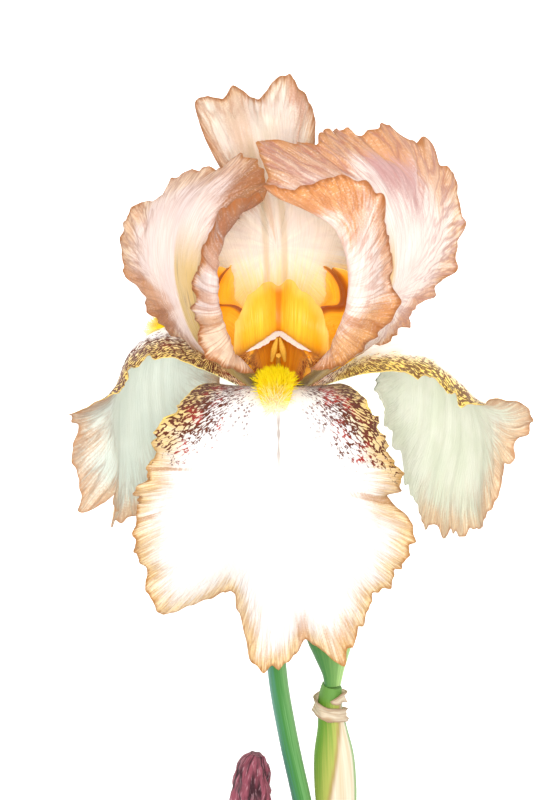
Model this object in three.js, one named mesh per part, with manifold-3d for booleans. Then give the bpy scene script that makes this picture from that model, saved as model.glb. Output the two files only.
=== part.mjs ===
// A cut bearded iris in flower, lying on its back: three upright petals (standards), three hanging
// petals (falls), the parts of the flower's heart, the stalk with its side bud, and one spent flower.
// Millimetres. The flower is drawn in its own frame, (side, height, front) from the throat where the
// petals meet, then leant back so that the cut end of the stalk reaches the surface at z = 0.
import * as THREE from "three";
import Module from "manifold-3d";

const wasm = await Module();
wasm.setup();

const leanDegrees = 14;
const throat = new THREE.Vector3(-5.4, 65.8, 57.9);
const petalThickness = 0.7;
const petalRows = 10;
const petalColumns = 30;
const seamGap = 0.35;
const sliceStep = 14;

const blank = {
  half: [38, 38],
  claw: 0.08,
  swell: [1.2, 1.2],
  shoulder: 1,
  corner: 0.6,
  blunt: 1,
  cup: [[0, 0], [0, 0]],
  roll: [[0, 0], [0, 0]],
  fold: [[0.6, 0.6], [0.6, 0.6]],
  foldSpan: [0.46, 0.46],
  lobes: [],
  waves: [],
  tucks: [],
  thickness: petalThickness,
  rows: petalRows,
  columns: petalColumns,
};

// azimuth: degrees round the flower from the front, towards the right.
// spine: midrib stations (radius, height, shift along the blade). half: half widths, left then right.
// cup and roll: degrees the blade turns between midrib and margin, by station along the midrib.
// lobes: (angle, spread, growth) of the margin. waves: (count, depth, phase, start).
// tucks: (angle, spread, depth, start) of single folds that run in from the margin.
const petals = {
  standard_left: {
    azimuth: -62,
    spine: [[6.4, 0.6], [15, 8], [27, 20], [33, 40], [29, 58], [15, 70]],
    half: [44, 34],
    swell: [1.6, 1.0],
    corner: 0.62,
    cup: [[0, -2, 4, 22, 30], [0, 20, 45, 55, 50]],
    roll: [[0, 0, -20, -30, -20], [0, -120, -200, -200, -150]],
    fold: [[0.6, 0.6], [0.46, 0.46]],
    foldSpan: [0.46, 0.28],
    lobes: [[-18, 8, 0.02], [14, 10, 0.1], [-100, 14, 0.1], [-76, 12, -0.05], [86, 12, -0.06], [58, 22, -0.2], [112, 14, 0.06]],
    waves: [[9, 1.6, 30, 0.5], [17, 0.7, 80, 0.7]],
  },
  standard_right: {
    azimuth: 62,
    spine: [[6.4, 0.6, 0], [16, 8, 0], [30, 20, 0], [37, 42, 0], [33, 62, -3], [18, 77, -11]],
    half: [42, 56],
    claw: 0.07,
    swell: [1.25, 1.5],
    corner: 0.62,
    cup: [[0, 20, 50, 78, 85], [0, 3, 10, 12, 10]],
    roll: [[0, -120, -200, -210, -190], [0, 0, -20, -28, -20]],
    fold: [[0.42, 0.42, 0.4, 0.4, 0.5], [0.6, 0.6]],
    foldSpan: [0.28, 0.46],
    lobes: [
      [-27, 13, 0.16], [-10, 8, 0.24], [-42, 12, 0.12], [-64, 14, -0.1], [50, 14, -0.05],
      [80, 16, 0.05], [112, 20, 0.24],
    ],
    waves: [[9, 1.8, 0, 0.5], [17, 0.7, 10, 0.7]],
  },
  standard_back: {
    azimuth: 180,
    spine: [[6.4, 0.6, 0], [16, 8, 0], [27, 26, 0], [30, 50, 1], [24, 72, 5], [15, 92, 8]],
    half: [31, 31],
    claw: 0.1,
    swell: [1.7, 1.7],
    corner: 0.55,
    blunt: 0.8,
    cup: [[0, 25, 45, 35, 15], [0, 25, 45, 35, 15]],
    lobes: [
      [30, 8, -0.6], [46, 12, -0.6], [22, 5, 0.16], [-29, 7, -0.24], [-44, 12, -0.42], [0, 5, -0.09],
      [-10, 6, 0.05],
    ],
    waves: [[22, 1.4, 0, 0.35]],
  },
  fall_front: {
    azimuth: 0,
    claw: 0.22,
    spine: [[7.6, -0.6], [15, 3.6], [26, 7.6], [36, 4], [42.5, -10], [44.5, -30], [42, -52], [37, -73]],
    half: [42, 38],
    swell: [1.1, 1.1],
    shoulder: 0.9,
    blunt: 0.85,
    cup: [
      [80, 20, -8, -10, -14, -18, -22, -18, -14],
      [80, 20, -8, -10, -14, -18, -22, -18, -14],
    ],
    lobes: [
      [-19, 9, -0.24], [-40, 8, 0.05], [9, 3, -0.07], [20, 6, 0.03], [33, 8, -0.05],
      [75, 4, -0.15], [64, 6, 0.05], [118, 22, -0.08],
    ],
    waves: [[19, 0.7, 0, 0.72]],
    tucks: [
      [-24, 10, 12, 0.35], [-5, 6, -3, 0.5], [8.5, 4, 5, 0.6], [20, 7, -3, 0.6], [33, 9, 4, 0.55],
      [57, 9, -3, 0.6], [73, 6, 5, 0.5], [88, 8, -4.5, 0.45], [108, 8, 3, 0.6],
      [-62, 8, -2.5, 0.6], [-76, 4, 3, 0.6], [-88, 9, -3, 0.55], [-99, 4, 3.5, 0.5],
      [-112, 10, -2.5, 0.6],
    ],
  },
  fall_left: {
    azimuth: -118,
    spine: [[7.6, -0.6], [17, 6], [31, 16], [44, 13], [50, -2], [50, -22], [46, -44]],
    half: [43.4, 38],
    swell: [1.5, 1.5],
    shoulder: 0.9,
    blunt: 0.85,
    cup: [[0, -20, -20, -20, -10], [0, -40, -50, -45, -20]],
    roll: [[0, 0, 0, 0, 0], [0, 20, 60, 90, 90]],
    fold: [[0.6, 0.6], [0.5, 0.5]],
    foldSpan: [0.46, 0.56],
    lobes: [[65, 6, 0.08], [58, 3, -0.06], [50, 5, 0.1], [41, 5, 0.1], [15, 10, 0.05], [-30, 25, -0.1]],
    waves: [[19, 0.7, 0, 0.72]],
    tucks: [[60, 9, -8, 0.4], [38, 8, 6, 0.5], [15, 8, -4, 0.5], [90, 10, 4, 0.5]],
  },
  fall_right: {
    azimuth: 113,
    spine: [[7.6, -0.6], [17, 5], [31, 12], [46, 12], [57, 1], [60, -17], [57, -35], [55, -50]],
    half: [45, 40.5],
    swell: [1.5, 1.5],
    shoulder: 0.9,
    blunt: 0.85,
    lobes: [[-72, 9, 0.06], [-52, 10, -0.14], [35, 18, -0.08]],
    cup: [[0, -45, -35, -5, 10], [0, -20, -20, -20, -10]],
    roll: [[0, 0, 0, 30, 30], [0, 0, 0, 0, 0]],
    waves: [[19, 0.7, 0, 0.72]],
    tucks: [[-70, 12, -12, 0.4], [-38, 8, 6, 0.5]],
  },
};

const hearts = {
  front: { azimuth: 0, reach: 1, fullness: 1.12, open: null },
  left: { azimuth: -118, reach: 0.84, fullness: 0.95, open: 0 },
  right: { azimuth: 113, reach: 0.84, fullness: 0.72, open: 1 },
};

// A style arm runs out over its fall, turns up at the stigma and ends in a crest cleft in two.
const styleArm = {
  spine: [
    [2.6, 0.45], [4, 9], [9, 19], [17, 24.6], [25.2, 24.8], [26, 29.5], [23.5, 34], [19.5, 37.5],
  ],
  half: [15.8, 17.2],
  claw: 0.2,
  swell: [0.8, 0.8],
  corner: 0.62,
  blunt: 0.9,
  cup: [[-60, -60, -50, -40, -30, 30, 115, 140], [-60, -60, -50, -40, -30, 30, 115, 140]],
  roll: [[-20, -30, -34, -36, -38, -44, -60, -60], [-20, -30, -34, -36, -38, -44, -60, -60]],
  fold: [[0, 0], [0, 0]],
  foldSpan: [0.16, 0.16],
  lobes: [[0, 4, -0.1], [-31, 15, -0.18], [31, 15, -0.18]],
  thickness: 0.9,
  rows: 14,
  columns: 12,
};

// The half of a side crest that faces away from the viewer lies nearly flat.
const openHand = {
  cup: [-60, -60, -50, -40, -30, 10, 15, 15],
  roll: [-20, -30, -34, -36, -32, -6, 0, 0],
};

const beard = {
  from: 9,
  to: 30,
  halfWidth: 4.8,
  height: 2.2,
  shift: -1,
  hairs: 54,
  hairLength: 4.4,
  hairWidth: 0.85,
};

const stamen = {
  filament: [[5, 0.75], [9, 7.5], [13.5, 12], [18.4, 15.6]],
  filamentRadius: 0.7,
  anther: [[17.4, 13.6], [19.2, 17.4], [20.6, 21.4]],
  antherRadius: 1.25,
};

// Stations of the stalk: (side, height, front, radius).
const tubeStations = [
  [0, -1.4, 0, 8.2], [0, -2.8, 0, 8], [0, -6.4, 0, 6], [0, -12, 0, 4.8], [0, -19, 0, 4.4],
];
// Raised middle of the tube's mouth, which the standards, style arms and stamens stand on.
const mouthStations = [[0, -3, 0, 6.8], [0, -1.5, 0, 6.8], [0, 0, 0, 6.8]];
const ovaryStations = [
  [0, -19.4, 0, 4.6], [-0.2, -24, 0, 5.6], [-0.8, -32, 0, 6.2], [-1.4, -40, 0, 5.4], [-2, -46, 0, 3.6],
];
const stemStations = [
  [-2, -46.4, 0, 3.4], [-1.8, -60, 0, 3], [-0.2, -89, 0, 3], [3, -110, 0, 3], [7.7, -133, 0, 3],
  [12, -155, 0, 3.3], [15.5, -175, 0, 3.7], [19, -200, 0.5, 4], [23, -232, 2, 4.3],
];
const branchStations = [
  [15, -172, 0, 2.4], [17.2, -160, 0, 2.8], [18.9, -148.9, 0, 3],
];
const spentStations = [
  [14, -178, 0, 2], [6, -170, 0, 2], [-1.5, -160, 0, 2.4], [-5, -152, 0, 3.2],
];
const spatheStations = [
  [19, -148, 0, 3.3], [18.9, -140, 0, 5.2], [18.4, -130, 0, 6.1], [17.8, -118, 0, 5.9],
  [17.2, -109, 0, 4.5], [16.6, -104, 0, 4], [16.4, -101, 0, 5.6], [16.6, -97, 0, 5.2], [17, -94.5, 0, 3.4],
];
const budStations = [
  [17, -94.1, 0, 2.6], [17, -90, 0, 3.4], [16.6, -84, 0, 5.4], [16.2, -78, 0, 7.2],
  [15.6, -70, 0, 7.6], [15, -60, 0, 6.6], [14.4, -50, 0, 4.2], [14, -42, 0, 0.9],
];
const spentFlowerStations = [
  [-5.2, -151.6, 0, 3.4], [-6.6, -145, 0, 5], [-7.6, -136, 0, 6], [-7.8, -128, 0, 5.4],
  [-7.4, -121, 0, 4.4], [-6.6, -117.5, 0, 2.2],
];

const radians = (degrees) => (degrees * Math.PI) / 180;
const clamp = (value, low, high) => Math.min(high, Math.max(low, value));

// Smooth curve through equally spaced values, numbers or arrays of numbers, for t from 0 to 1.
function spline(values, t) {
  if (Array.isArray(values[0])) {
    return values[0].map((_, axis) => spline(values.map((v) => v[axis] ?? 0), t));
  }
  const last = values.length - 1;
  const at = (i) => {
    if (i < 0) return 2 * values[0] - values[1];
    return i > last ? 2 * values[last] - values[last - 1] : values[i];
  };
  const u = clamp(t, 0, 1) * last;
  const i = Math.min(Math.floor(u), last - 1);
  const f = u - i;
  const [a, b, c, d] = [at(i - 1), at(i), at(i + 1), at(i + 2)];
  return 0.5 * (2 * b + (c - a) * f + (2 * a - 5 * b + 4 * c - d) * f ** 2
    + (3 * b - a - 3 * c + d) * f ** 3);
}

function smooth(from, to, value) {
  const f = clamp((value - from) / (to - from), 0, 1);
  return f * f * (3 - 2 * f);
}

function randomFrom(seed) {
  let state = seed;
  return () => {
    state = (state * 1664525 + 1013904223) % 4294967296;
    return state / 4294967296;
  };
}

// The midrib as evenly spaced frames: point, direction along, across, and out of the blade's back.
function midrib(points, azimuth) {
  const turn = radians(azimuth);
  const out = new THREE.Vector3(Math.sin(turn), 0, Math.cos(turn));
  const across = new THREE.Vector3(Math.cos(turn), 0, -Math.sin(turn));
  const steps = 200;
  const fine = [];
  for (let k = 0; k <= steps; k++) {
    const [radius, height, shift] = spline(points.map((p) => [p[0], p[1], p[2] ?? 0]), k / steps);
    fine.push(new THREE.Vector3(0, height, 0).addScaledVector(out, radius)
      .addScaledVector(across, shift));
  }
  const arc = [0];
  for (let k = 1; k <= steps; k++) arc.push(arc[k - 1] + fine[k].distanceTo(fine[k - 1]));
  const frames = fine.map((point, k) => {
    const before = fine[Math.max(0, k - 1)];
    const after = fine[Math.min(steps, k + 1)];
    const along = after.clone().sub(before).normalize();
    const side = across.clone().addScaledVector(along, -along.dot(across)).normalize();
    return { point, along, side, back: side.clone().cross(along) };
  });
  const length = arc[steps];
  const at = (share) => {
    const goal = clamp(share, 0, 1) * length;
    let k = 1;
    while (k < steps && arc[k] < goal) k++;
    const f = (goal - arc[k - 1]) / (arc[k] - arc[k - 1]);
    const mixed = {};
    for (const key of ["point", "along", "side", "back"]) {
      mixed[key] = frames[k - 1][key].clone().lerp(frames[k][key], f);
    }
    const beyond = (share - clamp(share, 0, 1)) * length;
    mixed.point.addScaledVector(mixed.along, beyond);
    return mixed;
  };
  return { length, at };
}

// A point of the flat blade, x across and y along, carried onto the bent and cupped blade.
function bend(petal, rib, x, y) {
  const share = y / rib.length;
  const frame = rib.at(share);
  const hand = x > 0 ? 1 : 0;
  const width = petal.half[hand];
  const cup = spline(petal.cup[hand], share);
  const roll = spline(petal.roll[hand], share);
  const fold = spline(petal.fold[hand], share);
  const reach = Math.abs(x) / width;
  let across = 0;
  let lift = 0;
  for (let k = 0; k < sliceStep; k++) {
    const e = (reach * (k + 0.5)) / sliceStep;
    const turn = radians(cup * e + roll * smooth(fold, fold + petal.foldSpan[hand], e));
    across += (Math.cos(turn) * reach * width) / sliceStep;
    lift += (Math.sin(turn) * reach * width) / sliceStep;
  }
  return frame.point.addScaledVector(frame.side, Math.sign(x) * across)
    .addScaledVector(frame.back, -lift);
}

// Where row r (0 claw, 1 margin) and column q (-1 left edge, 1 right edge) lie on the flat blade.
function outline(petal, rib, r, q) {
  const fan = radians(84);
  const turn = q * fan;
  const grown = petal.claw
    + (1 - petal.claw) * Math.sin((Math.PI / 2) * r ** petal.shoulder) ** petal.swell[q > 0 ? 1 : 0];
  let x = (petal.half[q > 0 ? 1 : 0] * Math.sin(turn) * grown) / Math.sin(fan);
  let y = rib.length * r * (petal.corner + (1 - petal.corner) * Math.cos(turn) ** petal.blunt);
  const middle = 0.45 * rib.length;
  const angle = (Math.atan2(x, y - middle) * 180) / Math.PI;
  for (const [centre, spread, growth] of petal.lobes) {
    const f = growth * Math.exp(-(((angle - centre) / spread) ** 2)) * smooth(0.3, 1, r);
    x *= 1 + f;
    y = middle + (y - middle) * (1 + f);
  }
  return { x, y, angle };
}

function ruffle(petal, r, q, angle) {
  const edge = (1 - (1 - r ** 2) * (1 - q ** 4)) * smooth(0.05, 0.45, r);
  let height = 0;
  for (const [count, depth, phase, start] of petal.waves) {
    height += depth * clamp((edge - start) / (1 - start), 0, 1) ** 1.5
      * Math.sin(radians(count * angle + phase));
  }
  for (const [centre, spread, depth, start] of petal.tucks) {
    height += depth * clamp((edge - start) / (1 - start), 0, 1) ** 1.3
      * Math.exp(-(((angle - centre) / spread) ** 2));
  }
  return height;
}

function bladeNormal(petal, rib, x, y) {
  const step = 0.05;
  const here = bend(petal, rib, x, y);
  const right = bend(petal, rib, x + step, y).sub(here);
  const ahead = bend(petal, rib, x, y + step).sub(here);
  return { here, normal: right.cross(ahead).normalize() };
}

// The frame the flower is drawn in, leant back and lifted to its place over the surface.
function place(point) {
  const lean = radians(leanDegrees);
  return new THREE.Vector3(
    throat.x + point.x,
    throat.y + point.y * Math.cos(lean) - point.z * Math.sin(lean),
    throat.z + point.y * Math.sin(lean) + point.z * Math.cos(lean),
  );
}

function solid(points, faces) {
  return new wasm.Manifold(new wasm.Mesh({
    numProp: 3,
    vertProperties: new Float32Array(points.flatMap((p) => place(p).toArray())),
    triVerts: new Uint32Array(faces.flat()),
  }));
}

// Two equal grids of points, back and face, closed along their four edges.
function slab(back, face) {
  const rows = back.length;
  const columns = back[0].length;
  const points = [...back.flat(), ...face.flat()];
  const faces = [];
  const behind = (i, j) => i * columns + j;
  const before = (i, j) => rows * columns + i * columns + j;
  const quad = (a, b, c, d) => faces.push([a, b, c], [a, c, d]);
  for (let i = 0; i < rows - 1; i++) {
    for (let j = 0; j < columns - 1; j++) {
      quad(before(i, j), before(i + 1, j), before(i + 1, j + 1), before(i, j + 1));
      faces.push([behind(i, j), behind(i + 1, j + 1), behind(i + 1, j)]);
      faces.push([behind(i, j), behind(i, j + 1), behind(i + 1, j + 1)]);
    }
    quad(behind(i, 0), behind(i + 1, 0), before(i + 1, 0), before(i, 0));
    const last = columns - 1;
    quad(before(i, last), before(i + 1, last), behind(i + 1, last), behind(i, last));
  }
  for (let j = 0; j < columns - 1; j++) {
    const last = rows - 1;
    quad(before(0, j), before(0, j + 1), behind(0, j + 1), behind(0, j));
    quad(behind(last, j), behind(last, j + 1), before(last, j + 1), before(last, j));
  }
  return solid(points, faces);
}

// A blade of even thickness over a grid of points, thickened along the grid's own normals.
function blade(grid, thickness) {
  const rows = grid.length;
  const columns = grid[0].length;
  const normals = grid.map((row, i) => row.map((_, j) => {
    const along = grid[Math.min(rows - 1, i + 1)][j].clone().sub(grid[Math.max(0, i - 1)][j]);
    const across = row[Math.min(columns - 1, j + 1)].clone().sub(row[Math.max(0, j - 1)]);
    return across.cross(along).normalize();
  }));
  const offset = (amount) => grid.map((row, i) => row.map((point, j) =>
    point.clone().addScaledVector(normals[i][j], amount)));
  return slab(offset(thickness / 2), offset(-thickness / 2));
}

function makePetal(settings) {
  const petal = { ...blank, ...settings };
  const rib = midrib(petal.spine, petal.azimuth);
  const grid = [];
  for (let i = 0; i <= petal.rows; i++) {
    const row = [];
    for (let j = 0; j <= petal.columns; j++) {
      const r = i / petal.rows;
      const q = (2 * j) / petal.columns - 1;
      const { x, y, angle } = outline(petal, rib, r, q);
      const { here, normal } = bladeNormal(petal, rib, x, y);
      row.push(here.addScaledVector(normal, ruffle(petal, r, q, angle)));
    }
    grid.push(row);
  }
  return blade(grid, petal.thickness);
}

// A closed body swept along stations (side, height, front, radius), ridged and twisted if asked.
function sweep(stations, { sides = 12, rings = 0, ridges = 0, ridgeDepth = 0, twist = 0 } = {}) {
  const count = rings || stations.length * 2 - 1;
  const path = [];
  for (let k = 0; k < count; k++) path.push(spline(stations, k / (count - 1)));
  const points = [];
  const start = new THREE.Vector3(...path[0]);
  const end = new THREE.Vector3(...path[count - 1]);
  let side = new THREE.Vector3(1, 0, 0);
  path.forEach((station, k) => {
    const centre = new THREE.Vector3(...station);
    const before = new THREE.Vector3(...path[Math.max(0, k - 1)]);
    const after = new THREE.Vector3(...path[Math.min(count - 1, k + 1)]);
    const along = after.sub(before).normalize();
    side = side.addScaledVector(along, -along.dot(side)).normalize();
    const other = along.clone().cross(side);
    for (let j = 0; j < sides; j++) {
      const turn = (2 * Math.PI * j) / sides;
      const wave = Math.cos(ridges * (turn + radians((twist * k) / (count - 1))));
      const radius = station[3] * (1 + ridgeDepth * wave);
      points.push(centre.clone().addScaledVector(side, radius * Math.cos(turn))
        .addScaledVector(other, radius * Math.sin(turn)));
    }
  });
  const faces = [];
  for (let k = 0; k < count - 1; k++) {
    for (let j = 0; j < sides; j++) {
      const [a, b] = [k * sides + j, k * sides + ((j + 1) % sides)];
      faces.push([a, b, b + sides], [a, b + sides, a + sides]);
    }
  }
  const bottom = points.push(start) - 1;
  const top = points.push(end) - 1;
  for (let j = 0; j < sides; j++) {
    const next = (j + 1) % sides;
    faces.push([bottom, next, j], [top, (count - 1) * sides + j, (count - 1) * sides + next]);
  }
  return solid(points, faces);
}

// Stations (radius, height) turned to their azimuth as (side, height, front).
function turned(stations, azimuth, radius) {
  const turn = radians(azimuth);
  return stations.map(([r, h], k) =>
    [r * Math.sin(turn), h, r * Math.cos(turn), Array.isArray(radius) ? radius[k] : radius]);
}

function makeStamen({ azimuth, reach }) {
  const shorten = (stations) => stations.map(([r, h]) => [r * reach, h]);
  const filament = sweep(turned(shorten(stamen.filament), azimuth, stamen.filamentRadius), { sides: 6 });
  const thick = stamen.antherRadius;
  const anther = sweep(turned(shorten(stamen.anther), azimuth, [0.5, thick, 0.5]),
    { sides: 8, rings: 7, ridges: 2, ridgeDepth: 0.25 });
  return filament.add(anther);
}

function makeStyleArm({ azimuth, reach, open }) {
  return makePetal({
    ...styleArm,
    azimuth,
    spine: styleArm.spine.map(([r, h]) => [r * reach, h]),
    half: styleArm.half.map((width) => width * reach),
    cup: styleArm.cup.map((turns, hand) => (hand === open ? openHand.cup : turns)),
    roll: styleArm.roll.map((turns, hand) => (hand === open ? openHand.roll : turns)),
  });
}

// A ridge seated along the midline of a fall, set with seeded three-sided hairs.
function makeBeard(name, fullness, seed) {
  const petal = { ...blank, ...petals[name] };
  const rib = midrib(petal.spine, petal.azimuth);
  const seat = petalThickness / 2 + seamGap;
  const reach = (beard.to - beard.from) * fullness;
  const on = (x, y, height) => {
    const { here, normal } = bladeNormal(petal, rib, x + beard.shift, y);
    return here.addScaledVector(normal, -height);
  };
  const stations = 9;
  const across = [-1, -0.6, 0, 0.6, 1];
  const swellAt = (share) => 0.45 + 0.55 * Math.sin(Math.PI * share) ** 0.6;
  const bottom = [];
  const top = [];
  for (let k = 0; k <= stations; k++) {
    const y = beard.from + (reach * k) / stations;
    const swell = swellAt(k / stations) * fullness;
    const width = beard.halfWidth * swell;
    bottom.push(across.map((e) => on(e * width, y, seat)));
    top.push(across.map((e) =>
      on(e * width * 0.9, y, seat + 0.4 + beard.height * swell * (1 - e * e))));
  }
  let made = slab(bottom, top);
  const random = randomFrom(seed);
  for (let k = 0; k < beard.hairs; k++) {
    const share = (k + random()) / beard.hairs;
    const y = beard.from + 1.5 + (reach - 3) * share;
    const x = (random() * 2 - 1) * beard.halfWidth * 0.55 * fullness * swellAt((y - beard.from) / reach);
    const length = beard.hairLength * fullness * (0.6 + 0.4 * random()) * (0.5 + 0.5 * Math.sin(Math.PI * share));
    const root = on(x, y, seat + 0.5);
    const tip = on(x * 2.4 + (random() - 0.5) * 2.4, y + 1.5 * (random() - 0.2), seat + 0.8 + length);
    made = made.add(thorn(root, tip, beard.hairWidth));
  }
  return made;
}

function thorn(root, tip, width) {
  const along = tip.clone().sub(root).normalize();
  const side = new THREE.Vector3(0.3, 0.8, 0.5).cross(along).normalize();
  const other = along.clone().cross(side);
  const points = [0, 1, 2].map((k) => root.clone()
    .addScaledVector(side, width * 0.6 * Math.cos((2 * Math.PI * k) / 3))
    .addScaledVector(other, width * 0.6 * Math.sin((2 * Math.PI * k) / 3)));
  return solid([...points, tip], [[0, 2, 1], [0, 1, 3], [1, 2, 3], [2, 0, 3]]);
}

const colours = {
  standard: "#e9c3a4",
  fall: "#f3e6d6",
  heart: "#f2b21c",
  beard: "#f7e11c",
  anther: "#e8c469",
  green: "#5c9a4e",
  sheath: "#c9cf86",
  bud: "#7fae5c",
  spent: "#6b2a34",
};

const iris = new THREE.Group();

// What would dip under the surface is trimmed flat, so the flower rests on three small spots.
function addNode(name, whole, colour) {
  const made = whole.trimByPlane([0, 0, 1], 0);
  const { numProp, vertProperties, triVerts } = made.getMesh();
  const positions = new Float32Array((vertProperties.length / numProp) * 3);
  for (let i = 0; i < positions.length / 3; i++) {
    positions.set(vertProperties.subarray(i * numProp, i * numProp + 3), i * 3);
  }
  const geometry = new THREE.BufferGeometry();
  geometry.setAttribute("position", new THREE.BufferAttribute(positions, 3));
  geometry.setIndex(new THREE.BufferAttribute(new Uint32Array(triVerts), 1));
  const mesh = new THREE.Mesh(geometry, new THREE.MeshStandardMaterial({ color: colour }));
  mesh.name = name;
  iris.add(mesh);
}

for (const [name, settings] of Object.entries(petals)) {
  addNode(name, makePetal(settings), name.startsWith("fall") ? colours.fall : colours.standard);
}
Object.entries(hearts).forEach(([side, heart], k) => {
  addNode(`style_arm_${side}`, makeStyleArm(heart), colours.heart);
  addNode(`stamen_${side}`, makeStamen(heart), colours.anther);
  addNode(`beard_${side}`, makeBeard(`fall_${side}`, heart.fullness, 11 + k), colours.beard);
});
addNode("perianth_tube", sweep(tubeStations).add(sweep(mouthStations)), colours.sheath);
addNode("ovary", sweep(ovaryStations, { ridges: 3, ridgeDepth: 0.08 }), colours.green);
addNode("stalk", sweep(stemStations, { sides: 14 }).add(sweep(branchStations))
  .add(sweep(spentStations)), colours.green);
addNode("sheath", sweep(spatheStations, { ridges: 2, ridgeDepth: 0.1, twist: 70 }), colours.sheath);
addNode("side_bud", sweep(budStations, { ridges: 3, ridgeDepth: 0.07, twist: 60 }), colours.bud);
addNode("spent_flower", sweep(spentFlowerStations,
  { ridges: 5, ridgeDepth: 0.14, twist: 80, rings: 9, sides: 15 }), colours.spent);

export default iris;
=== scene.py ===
import math
import bpy
import numpy as np
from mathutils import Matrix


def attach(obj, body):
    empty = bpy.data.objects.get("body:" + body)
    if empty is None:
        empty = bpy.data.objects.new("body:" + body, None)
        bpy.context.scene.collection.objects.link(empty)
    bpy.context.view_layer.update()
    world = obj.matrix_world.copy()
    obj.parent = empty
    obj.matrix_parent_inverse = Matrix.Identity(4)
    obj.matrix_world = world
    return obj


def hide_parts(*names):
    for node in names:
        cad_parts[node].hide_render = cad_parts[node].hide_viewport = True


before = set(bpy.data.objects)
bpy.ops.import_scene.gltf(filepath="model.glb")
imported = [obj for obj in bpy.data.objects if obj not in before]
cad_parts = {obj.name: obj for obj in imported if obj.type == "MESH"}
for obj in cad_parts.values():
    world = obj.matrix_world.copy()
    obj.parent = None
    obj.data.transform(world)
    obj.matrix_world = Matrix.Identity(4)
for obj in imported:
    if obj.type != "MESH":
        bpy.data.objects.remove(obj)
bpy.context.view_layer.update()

# Lengths are millimetres until place(), which turns them into metres. The flower is drawn in its
# own frame (side, height, front) from the throat where the petals meet, then leant back.
lean = math.radians(14)
throat = np.array([-5.4, 65.8, 57.9])
floorClearance = 0.02
sharpAngle = math.radians(70)
mm = 0.001


# Plain maths on numbers and grids of points

def spline(values, t):
    values = np.array(values, float)
    last = len(values) - 1
    ends = 2 * values[:1] - values[1:2], 2 * values[-1:] - values[-2:-1]
    padded = np.concatenate([ends[0], values, ends[1]])
    u = np.clip(t, 0, 1) * last
    i = np.minimum(np.floor(u).astype(int), last - 1)
    f = (u - i)[..., None] if values.ndim > 1 else u - i
    a, b, c, d = (padded[i + k] for k in range(4))
    return 0.5 * (2 * b + (c - a) * f + (2 * a - 5 * b + 4 * c - d) * f ** 2
                  + (3 * b - a - 3 * c + d) * f ** 3)


def smooth(low, high, value):
    f = np.clip((value - low) / (high - low), 0, 1)
    return f * f * (3 - 2 * f)


# Soft random relief between -1 and 1, one bump or hollow for each unit of u and v
def relief(u, v, seed):
    size = 64
    table = np.random.default_rng(seed).uniform(-1, 1, (size, size))
    u, v = np.broadcast_arrays(np.asarray(u, float), np.asarray(v, float))
    i, j = np.floor(u).astype(int), np.floor(v).astype(int)
    fu, fv = smooth(0, 1, u - i), smooth(0, 1, v - j)
    near, far = (table[i % size, (j + k) % size] * (1 - fu) + table[(i + 1) % size, (j + k) % size] * fu
                 for k in (0, 1))
    return near * (1 - fv) + far * fv


def normalise(vectors):
    return vectors / np.maximum(np.linalg.norm(vectors, axis=-1, keepdims=True), 1e-9)


# The difference between the neighbours of each row
def differences(rows):
    k = np.arange(len(rows))
    return rows[np.minimum(k + 1, len(rows) - 1)] - rows[np.maximum(k - 1, 0)]


# Shares down the rows of a grid, from 0 to 1, and across its columns, from -1 to 1
def gridShares(look):
    return np.linspace(0, 1, look["rows"])[:, None], np.linspace(-1, 1, look["columns"])[None, :]


def arcLengths(path):
    return np.concatenate([[0], np.cumsum(np.linalg.norm(np.diff(path, axis=0), axis=1))])


# The value for a petal's left or right hand, where one value may serve both
def handed(x, pair):
    left, right = np.broadcast_to(pair, 2)
    return np.where(x > 0, right, left)


# The same for stations along the midrib
def handedAlong(x, pair, share):
    left, right = pair if np.ndim(pair[0]) else (pair, pair)
    return np.where(x > 0, spline(right, share), spline(left, share))


def place(points):
    side, height, front = np.moveaxis(np.asarray(points, float), -1, 0)
    up = height * math.cos(lean) - front * math.sin(lean)
    off = height * math.sin(lean) + front * math.cos(lean)
    placed = throat + np.stack([side, up, off], axis=-1)
    placed[..., 2] = np.maximum(placed[..., 2], floorClearance)
    return placed * mm


# Shapes: points in the flower's frame, faces, and values kept on the points for the materials

def makeShape(points, faces, values, slot=0):
    return {"points": points, "faces": faces, "values": values, "slots": [slot] * len(faces)}


def join(*shapes):
    faces, slots, values, start = [], [], {}, 0
    for shape in shapes:
        faces += [tuple(start + i for i in face) for face in shape["faces"]]
        slots += shape["slots"]
        start += len(shape["points"])
    for name in sorted({name for shape in shapes for name in shape["values"]}):
        like = next(shape["values"][name] for shape in shapes if name in shape["values"])
        values[name] = np.concatenate([
            shape["values"].get(name, np.zeros((len(shape["points"]), *like.shape[1:])))
            for shape in shapes])
    points = np.concatenate([shape["points"] for shape in shapes])
    return {"points": points, "faces": faces, "values": values, "slots": slots}


def makeMesh(name, shape, materials):
    mesh = bpy.data.meshes.new(name)
    mesh.from_pydata(place(shape["points"]), [], shape["faces"])
    for key, values in shape["values"].items():
        kind, field = ("FLOAT_VECTOR", "vector") if values.ndim > 1 else ("FLOAT", "value")
        attribute = mesh.attributes.new(key, kind, "POINT")
        attribute.data.foreach_set(field, values.astype(np.float32).ravel())
    for material in materials:
        mesh.materials.append(material)
    mesh.polygons.foreach_set("material_index", shape["slots"])
    mesh.shade_smooth()
    mesh.set_sharp_from_angle(angle=sharpAngle)
    mesh.validate()
    return mesh


def addPiece(name, mesh, node):
    piece = bpy.data.objects.new(name, mesh)
    bpy.context.scene.collection.objects.link(piece)
    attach(piece, "root")
    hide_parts(node)


def gridNormals(grid):
    across = differences(grid.swapaxes(0, 1)).swapaxes(0, 1)
    return normalise(np.cross(across, differences(grid)))


def thicken(grid, half):
    normal = gridNormals(grid) * half
    return grid + normal, grid - normal


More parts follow.
